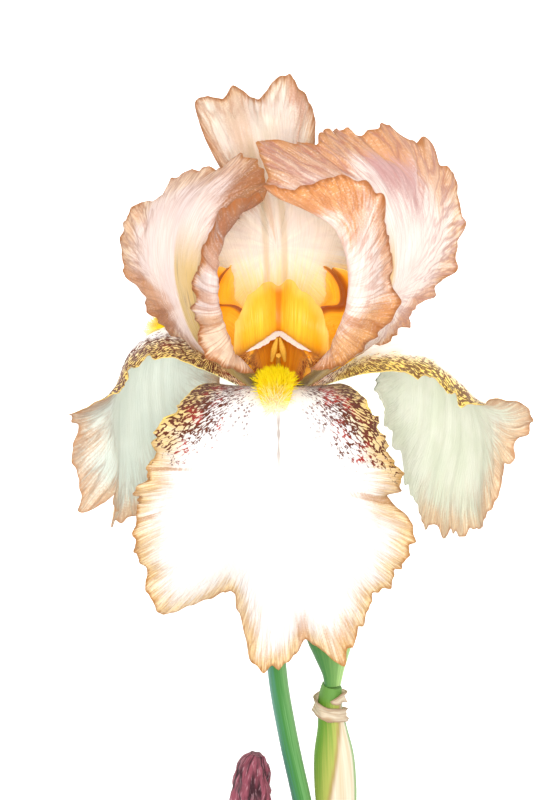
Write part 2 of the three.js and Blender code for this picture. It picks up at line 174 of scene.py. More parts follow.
# A slab between two equal grids of points, closed along its four edges. Each value is a tuple of
# grids, the same for both sides, and "side" is 0 on the back and 1 on the face.
def makeSlab(backGrid, faceGrid, values, slot=0):
    rows, columns = backGrid.shape[:2]
    back = np.arange(rows * columns).reshape(rows, columns)
    face = back + back.size
    quads = (
        (face[:-1, :-1], face[1:, :-1], face[1:, 1:], face[:-1, 1:]),
        (back[:-1, :-1], back[:-1, 1:], back[1:, 1:], back[1:, :-1]),
        (back[:-1, 0], back[1:, 0], face[1:, 0], face[:-1, 0]),
        (face[:-1, -1], face[1:, -1], back[1:, -1], back[:-1, -1]),
        (face[0, :-1], face[0, 1:], back[0, 1:], back[0, :-1]),
        (back[-1, :-1], back[-1, 1:], face[-1, 1:], face[-1, :-1]))
    faces = np.concatenate([np.stack([corner.ravel() for corner in quad], 1) for quad in quads])
    kept = {"side": np.repeat([0.0, 1.0], back.size)}
    for name, parts in values.items():
        flat = np.stack([np.broadcast_to(part, back.shape).ravel() for part in parts], 1)
        kept[name] = np.tile(flat, (2, 1)).squeeze()
    points = np.concatenate([backGrid.reshape(-1, 3), faceGrid.reshape(-1, 3)])
    return makeShape(points, faces.tolist(), kept, slot)


stemRadius = 4  # radius of the circle that the marks on a stem are drawn on


# A closed body swept along stations (side, height, front, radius). form scales the radius.
def sweep(stations, sides=32, rings=60, form=None):
    path = spline(stations, np.linspace(0, 1, rings))
    centre, radius = path[:, :3], path[:, 3]
    along = normalise(differences(centre))
    side = np.array([1.0, 0, 0])
    turn = 2 * np.pi * np.arange(sides) / sides
    points = []
    for k in range(rings):
        side = normalise(side - along[k] * (along[k] @ side))
        other = np.cross(along[k], side)
        scale = radius[k] * (form(turn, k / (rings - 1)) if form else 1)
        points.append(centre[k] + np.outer(scale * np.cos(turn), side)
                      + np.outer(scale * np.sin(turn), other))
    points = np.concatenate([*points, centre[:1], centre[-1:]])
    after = [(j + 1) % sides for j in range(sides)]
    faces = [(k + a, k + b, k + b + sides, k + a + sides)
             for k in range(0, (rings - 1) * sides, sides) for a, b in enumerate(after)]
    last, bottom, top = (rings - 1) * sides, rings * sides, rings * sides + 1
    for a, b in enumerate(after):
        faces += [(bottom, b, a), (top, last + a, last + b)]
    lengths = arcLengths(centre)
    around = np.tile([np.cos(turn) * stemRadius, np.sin(turn) * stemRadius], rings)
    stem = np.stack([*around, np.repeat(lengths, sides)], 1)
    stem = np.concatenate([stem, [[0, 0, 0], [0, 0, lengths[-1]]]])
    return makeShape(points, faces, {"stem": stem})


def ridged(count, depth, twist=0):
    return lambda turn, share: 1 + depth * np.cos(count * (turn + math.radians(twist * share)))


# Blades: petals, style arms and crests, as in the solids but on a finer grid. Where a value is a
# pair, the first is for the left hand and the second for the right.

bladeDefaults = {
    "half": 38, "claw": 0.08, "swell": 1.2, "shoulder": 1, "corner": 0.6, "blunt": 1,
    "cup": (0, 0), "roll": (0, 0), "fold": (0.6, 0.6), "foldSpan": 0.46,
    "lobes": (), "waves": (), "tucks": (),
    "thickness": 0.45, "rows": 93, "columns": 251,
    "tear": 1.3,               # millimetres that the margin is tattered
    "crinkle": (0.9, 4.5, 6),  # height, width and reach of the ruffle along the margin
    "pleat": (0.3, 2.6),       # height and width of the pleats that run along the veins
    "dents": (),               # crumpled stretches of the margin: angle, spread, reach, height
}
petalMiddle = 0.45  # share of the midrib that angles and lobes are measured from
fanAngle = math.radians(84)
veinSpread = 40
ribSteps = 200
sliceCount = 14
rimParts = 40       # the distances to the rim are measured in parts, to spare memory
tatters = ((3.6, 1, 0), (1.7, 0.7, 1))  # width, amount and seed
barbs = (2.3, 0.35, 1.2, 7)             # width, lowest relief that shows, amount and seed


def makeRib(petal):
    turn = math.radians(petal["azimuth"])
    out = np.array([math.sin(turn), 0, math.cos(turn)])
    across = np.array([math.cos(turn), 0, -math.sin(turn)])
    stations = [(*station, 0)[:3] for station in petal["spine"]]
    radius, height, shift = spline(stations, np.linspace(0, 1, ribSteps + 1)).T
    point = radius[:, None] * out + height[:, None] * [0, 1, 0] + shift[:, None] * across
    arc = arcLengths(point)
    along = normalise(differences(point))
    side = normalise(across - along * (along @ across)[:, None])
    frames = np.hstack([point, along, side, np.cross(side, along)])
    return {"length": arc[-1], "share": arc / arc[-1], "frames": frames}


def ribAt(rib, share):
    kept = np.clip(share, 0, 1)
    mixed = np.stack([np.interp(kept, rib["share"], column) for column in rib["frames"].T], -1)
    point, along, side, back = (mixed[..., k:k + 3] for k in (0, 3, 6, 9))
    return point + along * ((share - kept) * rib["length"])[..., None], side, back


def bend(petal, rib, x, y):
    share = y / rib["length"]
    point, side, back = ribAt(rib, share)
    width, span = handed(x, petal["half"]), handed(x, petal["foldSpan"])
    cup, roll, fold = (handedAlong(x, petal[key], share) for key in ("cup", "roll", "fold"))
    reach = np.abs(x) / width
    across, lift = np.zeros_like(x), np.zeros_like(x)
    for k in range(sliceCount):
        e = reach * (k + 0.5) / sliceCount
        turn = np.radians(cup * e + roll * smooth(fold, fold + span, e))
        across = across + np.cos(turn) * reach * width / sliceCount
        lift = lift + np.sin(turn) * reach * width / sliceCount
    return point + side * (np.sign(x) * across)[..., None] - back * lift[..., None]


def surface(petal, rib, x, y, step=0.05):
    here = bend(petal, rib, x, y)
    right = bend(petal, rib, x + step, y) - here
    ahead = bend(petal, rib, x, y + step) - here
    return here, normalise(np.cross(right, ahead))


def outline(petal, rib, r, q):
    claw, corner = handed(q, petal["claw"]), petal["corner"]
    rise = np.sin(math.pi / 2 * r ** petal["shoulder"]) ** handed(q, petal["swell"])
    grown = claw + (1 - claw) * rise
    x = handed(q, petal["half"]) * np.sin(q * fanAngle) * grown / math.sin(fanAngle)
    y = rib["length"] * r * (corner + (1 - corner) * np.cos(q * fanAngle) ** petal["blunt"])
    middle = petalMiddle * rib["length"]
    angle = np.degrees(np.arctan2(x, y - middle))
    for centre, spread, growth in petal["lobes"]:
        f = growth * np.exp(-(((angle - centre) / spread) ** 2)) * smooth(0.3, 1, r)
        x, y = x * (1 + f), middle + (y - middle) * (1 + f)
    return x, y, angle


def towardsMargin(r, q, start, full):
    return (1 - (1 - r ** 2) * (1 - q ** 4)) * smooth(start, full, r)


def ruffle(petal, r, q, angle):
    edge = towardsMargin(r, q, 0.05, 0.45)
    height = np.zeros_like(edge)
    for count, depth, phase, start in petal["waves"]:
        rise = np.clip((edge - start) / (1 - start), 0, 1) ** 1.5
        height = height + depth * rise * np.sin(np.radians(count * angle + phase))
    for centre, spread, depth, start in petal["tucks"]:
        rise = np.clip((edge - start) / (1 - start), 0, 1) ** 1.3
        height = height + depth * rise * np.exp(-(((angle - centre) / spread) ** 2))
    return height


def distanceToRim(x, y):
    rows = len(x) // 6
    rim = np.concatenate([np.stack([x[part], y[part]], 1)
                          for part in (np.s_[rows:, 0], np.s_[-1], np.s_[rows:, -1])])
    flat = np.stack([x.ravel(), y.ravel()], 1)
    nearest = [np.sqrt(((part[:, None] - rim[None]) ** 2).sum(-1).min(1))
               for part in np.array_split(flat, rimParts)]
    return np.concatenate(nearest).reshape(x.shape)


# Points that would sink into the table are lifted onto it
def aboveFloor(grid, clearance):
    up = np.array([0, math.sin(lean), math.cos(lean)])
    missing = np.maximum(clearance + floorClearance - throat[2] - grid @ up, 0)
    return grid + missing[..., None] * up


def makeBlade(petal):
    rib = makeRib(petal)
    v, u = gridShares(petal)
    r, q = np.broadcast_arrays(1 - (1 - v) ** 1.3, u * (1.25 - 0.25 * u * u))
    x, y, angle = outline(petal, rib, r, q)
    seed, middle = petal["seed"] * 10, petalMiddle * rib["length"]
    around = np.radians(angle) * middle
    ragged = sum(amount * relief(around / width, 0, seed + k) for width, amount, k in tatters)
    width, least, amount, k = barbs
    ragged = ragged + amount * np.maximum(relief(around / width, 0, seed + k) - least, 0)
    torn = 1 + petal["tear"] / 40 * ragged * smooth(0.8, 1, towardsMargin(r, q, 0.1, 0.45))
    x, y = x * torn, middle + (y - middle) * torn
    rim = distanceToRim(x, y)

    height, width, reach = petal["crinkle"]
    crisp = relief(around / width, rim / 14, seed + 2)
    crisp = crisp + 0.5 * relief(around * 2.1 / width, rim / 7, seed + 3)
    lift = ruffle(petal, r, q, angle)
    lift = lift + height * crisp * np.exp(-rim / reach) * smooth(0.12, 0.4, r)
    height, width = petal["pleat"]
    pleats = relief(q * veinSpread / width, y / 40, seed + 4) * smooth(0.1, 0.5, r)
    lift = lift + height * pleats
    dents = relief(around / 3.2, rim / 10, seed + 5) + 0.6 * relief(around / 1.7, rim / 5, seed + 6)
    for centre, spread, reach, height in petal["dents"]:
        near = np.exp(-(((angle - centre) / spread) ** 2) - (rim / reach) ** 2)
        lift = lift + height * dents * near

    here, normal = surface(petal, rib, x, y)
    grid = aboveFloor(here + normal * lift[..., None], petal["thickness"] / 2)
    half = petal["thickness"] / 2 * (0.5 + 0.5 * smooth(0, 5, rim))
    values = {"veins": (q * veinSpread, y, x), "rim": (rim,),
              "fan": (around, np.hypot(x, y - middle), 0)}
    return makeSlab(*thicken(grid, half[..., None]), values)


# Materials. A wire is one socket of a node tree, and sums of wires add the Math nodes.

def addNode(tree, kind, sockets=None, **settings):
    made = tree.nodes.new(kind)
    for key, value in settings.items():
        setattr(made, key, value)
    for key, value in (sockets or {}).items():
        source = getattr(value, "socket", value)
        if isinstance(source, bpy.types.NodeSocket):
            tree.links.new(source, made.inputs[key])
        else:
            made.inputs[key].default_value = source
    return made


# A method of Wire that adds one Math node. Where it is swapped, the wire comes second.
def mathMethod(operation, swapped=False):
    def method(wire, other=0.0):
        first, second = (other, wire) if swapped else (wire, other)
        return wire.node("Math", {0: first, 1: second}, operation=operation)
    return method


class Wire:
    def __init__(self, tree, socket):
        self.tree = tree
        self.socket = socket

    def node(self, kind, sockets, output=0, **settings):
        made = addNode(self.tree, "ShaderNode" + kind, sockets, **settings)
        return Wire(self.tree, made.outputs[output])

    __add__ = mathMethod("ADD")
    __radd__ = mathMethod("ADD", True)
    __sub__ = mathMethod("SUBTRACT")
    __rsub__ = mathMethod("SUBTRACT", True)
    __mul__ = mathMethod("MULTIPLY")
    __rmul__ = mathMethod("MULTIPLY", True)
    __truediv__ = mathMethod("DIVIDE")
    size = mathMethod("ABSOLUTE")
    root = mathMethod("SQRT")
    heading = mathMethod("ARCTAN2")
    most = mathMethod("MAXIMUM")
    least = mathMethod("MINIMUM")

    # 0 below low, 1 above high, and smooth between
    def rise(self, low, high):
        return self.node("MapRange", {0: self, 1: low, 2: high}, interpolation_type="SMOOTHSTEP")

    def fall(self, low, high):
        return 1 - self.rise(low, high)

    # 1 up to a share of the reach and 0 from the reach on
    def within(self, reach, share=0.3):
        return self.fall(reach * share, reach)

    # A colour that goes from below to above as the wire goes from 0 to 1
    def tint(self, below, above):
        return self.node("Mix", {0: self, 6: colour(below), 7: colour(above)}, 2, data_type="RGBA")

    def parts(self):
        split = addNode(self.tree, "ShaderNodeSeparateXYZ", {0: self})
        return [Wire(self.tree, socket) for socket in split.outputs]

    # Noise from 0 to 1 on a grid of cells one unit wide. Another z gives another pattern.
    def noise(self, x, y, z=0.0, detail=1.0):
        at = self.node("CombineXYZ", {0: x, 1: y, 2: z})
        return self.node("TexNoise", {"Vector": at, "Scale": 1.0, "Detail": detail})

    # Fine lines that run along y, where the noise passes its middle
    def threads(self, x, y, sharpness, detail=2.0):
        return 1 - ((self.noise(x, y, 0.0, detail) - 0.5).size() * sharpness).least(1.0)

    # Dots scattered about one to a cell
    def dots(self, x, y):
        sockets = {"Vector": self.node("CombineXYZ", {0: x, 1: y}), "Scale": 1.0}
        distance = self.node("TexVoronoi", sockets, "Distance", voronoi_dimensions="2D", feature="F1")
        return distance.fall(0.2, 0.4)


def linear(value):
    return value / 12.92 if value <= 0.04045 else ((value + 0.055) / 1.055) ** 2.4


def colour(value):
    if isinstance(value, str):
        return (*(linear(int(value[k:k + 2], 16) / 255) for k in (1, 3, 5)), 1)
    return value


# Lays tints over a base, each where its mask is 1
def paint(base, *layers):
    for mask, tint in layers:
        base = mask.tint(base, tint)
    return base


# Noise on a swept body, with strokes that run along it
def stemNoise(stem, fineness, length, detail=3.0):
    x, y, along = stem
    return x.noise(x * fineness, y * fineness, along / length, detail)


class Finish:
    # A material under construction. values("rim") reads a value kept on the points of a shape.
    def __init__(self, name):
        self.material = bpy.data.materials.new(name)
        self.material.use_nodes = True
        self.material.node_tree.nodes.clear()
        self.node = Wire(self.material.node_tree, None).node

    def values(self, name, output="Fac"):
        return self.node("Attribute", {}, output, attribute_name=name)

    def vector(self, name):
        return self.values(name, "Vector").parts()

    def close(self, base, roughness, height=None, bumpDepth=0.3, bump=0.5, glow=None,
              through=None, sheen=0.0, shine=None, shineStrength=0.0):
        sockets = {"Base Color": base, "Roughness": roughness, "Sheen Weight": sheen,
                   "Specular IOR Level": 0.35}
        if shine is not None:
            sockets |= {"Emission Color": shine, "Emission Strength": shineStrength}
        if height is not None:
            depth = {"Strength": bump, "Distance": bumpDepth * mm, "Height": height}
            sockets["Normal"] = self.node("Bump", depth)
        body = self.node("BsdfPrincipled", sockets)
        if through is not None:
            behind = self.node("BsdfTranslucent", {"Color": colour(glow)})
            body = self.node("MixShader", {0: through, 1: body, 2: behind})
        addNode(self.material.node_tree, "ShaderNodeOutputMaterial", {"Surface": body})
        return self.material


# Petal finish. Lengths in millimetres, angles in degrees round the petal's middle. The band runs
# along the margin from bandFrom on, and feathers inwards.
rimStrokes = (4, 11)  # distances from the margin over which the strokes turn to follow the veins
translucency = 0.3
sideDefaults = {
    "middle": "#f8f3f1", "flush": "#eadde6", "flushAmount": 0.8,
    "band": "#e4ae84", "bandWidth": 9, "feather": 11, "bandAmount": 0.9, "bandFrom": (0, 1),
    "edge": "#b97a4c", "edgeWidth": 1.1,
    "flecks": 0.4,            # pale specks in the band
    "vein": "#c99a84", "veinAmount": 0.3, "rimVeinAmount": 0.6, "rimVein": "#b0703f",
    "rimVeinReach": 2.0,
    "crease": "#a9674a", "creaseAmount": 0.3, "creaseReach": 22,
    "claw": "#c9a04a", "clawEnd": "#96812c", "clawReach": (12, 34), "keel": None,
    "ribs": (),               # dark lines along the midrib: place and width
    "stains": (),             # angle, spread, reach inwards, colour and amount
    "plain": None,            # a stretch of the margin without its band: angle and spread
}


# Brushed noise: its strokes follow the veins inside the petal and radiate to the margin near it
def brush(nearRim, width, length, veins, fan):
    inner, outer = (nearRim.noise(x / width, y / length, 3.0, 2.0) for x, y, _ in (veins, fan))
    return inner + (outer - inner) * nearRim


def petalSide(side, rim, veins, fan, radius):
    look = {**sideDefaults, **side}
    acrossVeins, along, across = veins
    around, out, _ = fan
    nearRim = rim.fall(*rimStrokes)
    fine, streak = brush(nearRim, 0.55, 9, veins, fan), brush(nearRim, 1.4, 16, veins, fan)
    grain = rim.noise(around / 0.5, out / 0.6, 5.0)
    patch = rim.noise(around / 14, out / 14, 7.0, 2.0)
    threads = rim.threads(acrossVeins / 0.8, along / 22, 14)
    rimThreads = rim.threads(around / 0.9, out / 16, 13)
    creases = rim.threads(around / 3.3, out / 17, 16, 3.0)
    brushed = (fine - 0.5) * 1.2 + (streak - 0.5) * 0.6 + (grain - 0.5) * 0.6
    depth = rim + (brushed + (patch - 0.5)) * look["feather"]

    present = along.rise(*look["bandFrom"])
    if look["plain"]:
        centre, spread = (math.radians(value) * radius for value in look["plain"])
        present = present * (around - centre).size().rise(spread * 0.7, spread)
    tone = (patch + (fine - 0.5) * 0.25).rise(0.35, 0.65) * look["flushAmount"]
    band = depth.fall(0, look["bandWidth"]) * look["bandAmount"]
    made = paint(look["middle"], (tone, look["flush"]), (threads * look["veinAmount"], look["vein"]),
                 (band * present, look["band"]))
    for angle, spread, reach, tint, amount in look["stains"]:
        width = math.radians(spread) * radius
        way = (around - math.radians(angle) * radius).size() + brushed * width * 0.5
        zone = way.within(width, 0.4)
        zone = zone * (rim + brushed * reach * 0.7).fall(reach * 0.5, reach * 1.1)
        made = (zone * amount).tint(made, tint)
    flecks = grain.rise(0.54, 0.68) * depth.fall(3, 16)
    lines = rimThreads * depth.fall(1, look["bandWidth"] * look["rimVeinReach"]) * look["rimVeinAmount"]
    # Darker lines along the creases: partly the petal's own browning, partly painted shade in the folds
    creaseTintAndShade = creases * rim.within(look["creaseReach"]) * look["creaseAmount"]
    edge = (rim + (fine - 0.5) * look["edgeWidth"] * 2).fall(0, look["edgeWidth"])
    near, far = look["clawReach"]
    grown = along + (streak - 0.5) * 14 + (fine - 0.5) * 8
    thick = grown.fall(near, far)
    made = paint(made, (flecks * present * look["flecks"], "#fdf0dc"), (lines * present, look["rimVein"]),
                 (creaseTintAndShade * present, look["crease"]), (edge * present, look["edge"]),
                 (thick, (grown / far).tint(look["clawEnd"], look["claw"])))
    for ribAcross, width in look["ribs"]:
        rib = (across - ribAcross + brushed * 0.6).size().within(width) * along.fall(70, 90)
        made = (rib * 0.55).tint(made, "#c3b08a")
    if look["keel"]:
        zone, tint = keel(look["keel"], along + brushed * 5, across + brushed * 1.5, streak)
        made, thick = zone.tint(made, tint), thick.most(zone)
    return made, thick, (threads, rimThreads, creases)


# The thick gold midrib of a petal seen from behind, from its claw up to the height given
def keel(look, along, across, streak):
    low, high = look["across"]
    zone = across.rise(low - 0.8, low + 0.8) * across.fall(high - 2, high + 2)
    zone = zone * along.within(look["height"], 0.72)
    tint = (along / look["height"] + (streak - 0.5)).rise(0.1, 0.7).tint(look["low"], look["high"])
    return zone, (streak.rise(0.55, 0.7) * 0.5).tint(tint, "#7c5418")


def petalFinish(name, radius, face, back, marks=None, glow="#f6dcc6", paintedLight=None):
    finish = Finish(name)
    rim, side = finish.values("rim"), finish.values("side")
    veins, fan = finish.vector("veins"), finish.vector("fan")
    front, opaque, (threads, rimThreads, creases) = petalSide(face, rim, veins, fan, radius)
    if marks:
        front, opaque = haftMarks(front, marks, rim, veins)
    rear, thick, _ = petalSide(back, rim, veins, fan, radius)
    through = (1 - thick + (thick - opaque) * side) * translucency
    base = side.rise(0.4, 0.6).tint(rear, front)
    grain = brush(rim.fall(*rimStrokes), 0.8, 3, veins, fan)
    height = threads * 0.5 + rimThreads * rim.fall(2, 14) + grain - creases * rim.fall(5, 15) * 2
    # Painted light: the face, up to 'from' along the midrib and fading out by 'to', emits its own colour so
    # that parts lying in shade look lit
    shine, strength = None, 0.0
    if paintedLight:
        shine = (veins[1].fall(paintedLight["from"], paintedLight["to"]) * side).tint("#000000", base)
        strength = paintedLight["strength"]
    return finish.close(base, 0.6, height, 0.35, 0.5, glow, through, 0.1, shine, strength)


# Brown dashes on the gold shoulders of a fall. They run outwards from the end of its beard,
# crowd together near the margin and thin out to rows of dots.
def haftMarks(base, look, rim, veins):
    _, along, across = veins
    ahead = along - look["heart"]
    turn = across.heading(ahead) * look["spacing"]
    out = (across * across + ahead * ahead).root()
    start, full, fade, end = look["along"]
    wander = rim.noise(across / 4, along / 4, 5.0, 2.0)
    sway = along - across * 0.06 + (wander - 0.5) * 14
    zone = along.rise(start, full) * sway.fall(fade, end)
    inward = rim + (wander - 0.5) * 8
    gold = inward.within(look["goldWidth"]) * zone
    crowd = inward.within(look["width"], 0.35) * zone
    crowd = crowd.most(along.fall(look["heart"] - 4, look["heart"] + 3) * 0.8)
    net = rim.threads(turn / look["dash"][0], out / look["dash"][1], 7)
    level = net * 0.5 + rim.noise(turn / 0.9, out / 1.8, 4.0) * 0.5 + crowd * 0.3
    red = rim.noise(across / 6, along / 6, 8.0).rise(0.45, 0.62) * inward.rise(2, 7)
    covered = level.rise(0.74, 0.8) * crowd.rise(0.02, 0.2) * look["amount"]
    dots = rim.dots(turn / 1.5, out / 1.3) * across.size().rise(5, 9)
    rows = rim.noise(turn / 1.5, out / 9, 4.0).rise(0.44, 0.54)
    near = out.within(look["dotReach"], 0.6) * out.rise(4, 7) * zone
    dotted = dots * rows * near * 0.9
    line = (across.size() + (wander - 0.5) * 1.2).fall(0.1, 0.6) * along.rise(32, 36) * along.fall(42, 54)
    edge = (rim + (wander - 0.5) * 0.8).within(look["edgeWidth"], 0.5) * sway.fall(fade, end)
    made = paint(base, (gold * look["goldAmount"], look["gold"]),
                 (covered, red.tint(look["mark"], look["wine"])), (dotted, look["dot"]),
                 (line * look["midline"], look["dot"]), (edge, look["edge"]))
    return made, covered.most(dotted)


# Petals: the same stations as the solids, with a finer margin and creases of their own

standardBlade = {**bladeDefaults, "corner": 0.62, "waves": ((9, 1.6, 30, 0.5), (17, 0.7, 80, 0.7)),
                 "crinkle": (1.1, 3.6, 6), "pleat": (0.2, 2.6)}
fallBlade = {**bladeDefaults, "swell": 1.5, "shoulder": 0.9, "blunt": 0.85,
             "waves": ((19, 0.7, 0, 0.72),), "crinkle": (0.8, 5, 6)}
petals = {
    "standard_left": {
        **standardBlade, "azimuth": -62, "seed": 1,
        "spine": ((6.4, 0.6), (15, 8), (27, 20), (33, 40), (29, 58), (15, 70)),
        "half": (44, 34), "claw": (0.08, 0.26), "swell": (1.6, 1.0),
        "cup": ((0, -2, 4, 22, 30), (0, 20, 45, 55, 50)),
        "roll": ((0, 0, -20, -30, -20), (0, -120, -200, -200, -150)),
        "fold": ((0.6, 0.6), (0.46, 0.46)), "foldSpan": (0.46, 0.28),
        "lobes": ((-18, 8, 0.02), (14, 10, 0.1), (-100, 14, 0.1), (-76, 12, -0.05), (-47, 9, 0.1),
                  (90, 24, -0.08), (58, 22, -0.2), (112, 14, 0.06)),
        "dents": ((-100, 24, 14, 1.4), (-62, 10, 16, 1.2), (20, 14, 14, 1.1), (75, 40, 9, 0.9)),
    },
    "standard_right": {
        **standardBlade, "azimuth": 62, "seed": 2,
        "spine": ((6.4, 0.6, 0), (16, 8, 0), (30, 20, 0), (37, 42, 0), (33, 62, -3), (18, 77, -11)),
        "half": (42, 56), "claw": (0.22, 0.07), "swell": (1.25, 1.5),
        "cup": ((0, 20, 50, 78, 85), (0, 3, 10, 12, 10)),
        "roll": ((0, -120, -200, -210, -190), (0, 0, -20, -28, -20)),
        "fold": ((0.42, 0.42, 0.4, 0.4, 0.5), (0.6, 0.6)), "foldSpan": (0.28, 0.46),
        "lobes": ((-27, 13, 0.16), (-10, 8, 0.24), (-42, 12, 0.12), (-64, 14, -0.1), (50, 14, -0.05),
                  (80, 16, 0.05), (112, 20, 0.24)),
        "waves": ((9, 1.8, 0, 0.5), (17, 0.7, 10, 0.7)),
        "dents": ((116, 22, 14, 1.4), (40, 26, 24, 1.7), (2, 12, 12, 1.2), (-95, 26, 9, 0.9)),
    },
    "standard_back": {
        **standardBlade, "azimuth": 180, "seed": 3,
        "spine": ((6.4, 0.6, 0), (16, 8, 0), (27, 26, 0), (30, 50, 1), (24, 72, 5), (15, 92, 8)),
        "half": 31, "claw": 0.1, "swell": 1.7, "corner": 0.55, "blunt": 0.8,
        "cup": (0, 25, 45, 35, 15), "pleat": (0.25, 2.8),
        "lobes": ((30, 8, -0.6), (46, 12, -0.6), (22, 5, 0.16), (-29, 7, -0.24), (-44, 12, -0.42),
                  (0, 5, -0.09), (-10, 6, 0.05)),
        "waves": ((22, 1.4, 0, 0.35),),
        "dents": ((16, 14, 18, 1.0), (-14, 12, 16, 0.9)),
    },
    "fall_front": {
        **fallBlade, "azimuth": 0, "seed": 4,
        "spine": ((7.6, -0.6), (15, 3.6), (26, 7.6), (36, 4), (42.5, -10), (44.5, -30), (42, -52),
                  (37, -73)),
        "half": (42, 38), "claw": 0.22, "swell": 1.1,
        "cup": (80, 20, -8, -10, -14, -18, -22, -18, -14),
        "lobes": ((-19, 9, -0.24), (-40, 8, 0.05), (9, 3, -0.07), (20, 6, 0.03), (33, 8, -0.05),
                  (75, 4, -0.15), (64, 6, 0.05), (118, 22, -0.08)),
        "tucks": ((-24, 10, 12, 0.35), (-5, 6, -3, 0.5), (8.5, 4, 5, 0.6), (20, 7, -3, 0.6),
                  (33, 9, 4, 0.55), (57, 9, -3, 0.6), (73, 6, 5, 0.5), (88, 8, -4.5, 0.45),
                  (108, 8, 3, 0.6), (-62, 8, -2.5, 0.6), (-76, 4, 3, 0.6), (-88, 9, -3, 0.55),
                  (-99, 4, 3.5, 0.5), (-112, 10, -2.5, 0.6)),
        "crinkle": (0.6, 5, 5), "pleat": (0.15, 3),
    },
    "fall_left": {
        **fallBlade, "azimuth": -118, "seed": 5,
        "spine": ((7.6, -0.6), (17, 6), (31, 16), (44, 13), (50, -2), (50, -22), (46, -44)),
        "half": (43.4, 38),
        "cup": ((0, -20, -20, -20, -10), (0, -40, -50, -45, -20)),
        "roll": ((0, 0), (0, 20, 60, 90, 90)),
        "fold": ((0.6, 0.6), (0.5, 0.5)), "foldSpan": (0.46, 0.56),
        "lobes": ((65, 6, 0.08), (58, 3, -0.06), (50, 5, 0.1), (41, 5, 0.1), (15, 10, 0.05),
                  (-30, 25, -0.1)),
        "tucks": ((60, 9, -8, 0.4), (38, 8, 6, 0.5), (15, 8, -4, 0.5), (90, 10, 4, 0.5)),
    },
    "fall_right": {
        **fallBlade, "azimuth": 113, "seed": 6,
        "spine": ((7.6, -0.6), (17, 5), (31, 12), (46, 12), (57, 1), (60, -17), (57, -35), (55, -50)),
        "half": (45, 40.5),
        "cup": ((0, -45, -35, -5, 10), (0, -20, -20, -20, -10)),
        "roll": ((0, 0, 0, 30, 30), (0, 0)),
        "lobes": ((-72, 9, 0.06), (-52, 10, -0.14), (35, 18, -0.08)),
        "tucks": ((-70, 12, -12, 0.4), (-38, 8, 6, 0.5)),
    },
}

standardFace = {"middle": "#f8eee6", "flush": "#ecd8d0", "crease": "#b0642e", "creaseAmount": 0.5,
                "band": "#e4b88e", "bandWidth": 5, "edge": "#a05a20", "edgeWidth": 1.8, "feather": 8,
                "vein": "#c9988c", "claw": "#f0b63a", "clawEnd": "#c87a12", "clawReach": (3, 12)}
standardBack = {"middle": "#f8eee6", "flush": "#ecdedb", "crease": "#9a5a34", "creaseAmount": 0.6,
                "band": "#f0d0a4", "bandWidth": 7, "edge": "#aa6a2c", "edgeWidth": 1.5,
                "claw": "#cda04a", "clawEnd": "#a07c24", "clawReach": (8, 24)}
fallFace = {"middle": "#fbfafa", "flush": "#f6f3f8", "creaseAmount": 0.12, "creaseReach": 12,
            "band": "#f4d394", "bandAmount": 0.95, "bandWidth": 7.5, "edge": "#b0702a", "edgeWidth": 1.3,
            "feather": 6, "rimVein": "#b4782c", "rimVeinAmount": 0.65, "rimVeinReach": 1.5,
            "veinAmount": 0.04, "claw": "#f4efe6", "clawEnd": "#e8a818", "clawReach": (4, 10)}
fallBack = {"middle": "#e0e8e4", "flush": "#d2ddd8", "creaseAmount": 0.1, "band": "#e6c4a4",
            "bandWidth": 7, "edge": "#bd8250", "feather": 9, "vein": "#cbd4c8", "veinAmount": 0.15,
            "claw": "#e3e6c0", "clawEnd": "#c9cf86"}
leftKeel = {"across": (-3, 24), "height": 68, "low": "#a8820c", "high": "#cca868"}
rightKeel = {"across": (-22, 3), "height": 70, "low": "#a47e10", "high": "#dcb070"}

frontMarks = {"along": (-4, 2, 32, 54), "heart": 18, "spacing": 26, "width": 18, "goldWidth": 9,
              "goldAmount": 0.85, "dash": (0.9, 3.2), "dotReach": 32, "amount": 1.0, "midline": 0.6,
              "gold": "#f6d68a", "mark": "#5c260c", "wine": "#a02c20", "dot": "#582420",
              "edge": "#ecd070", "edgeWidth": 0.5}
leftMarks = {**frontMarks, "along": (2, 8, 50, 70), "width": 22, "goldWidth": 14, "gold": "#f6d26a",
             "mark": "#5a2c18", "wine": "#6e3018", "midline": 0.0, "dotReach": 0.1}
rightMarks = {**leftMarks, "width": 12, "goldWidth": 13, "goldAmount": 0.9, "amount": 0.92,
              "gold": "#ffdf62"}
# Painted light that each petal's face emits: the stretch along the midrib that it covers, and its strength
standardPaintedLight = {"from": 190, "to": 200, "strength": 0.14}
backPaintedLight = {"from": 52, "to": 70, "strength": 0.14}
sidePaintedLight = {"from": 44, "to": 68, "strength": 0.42}

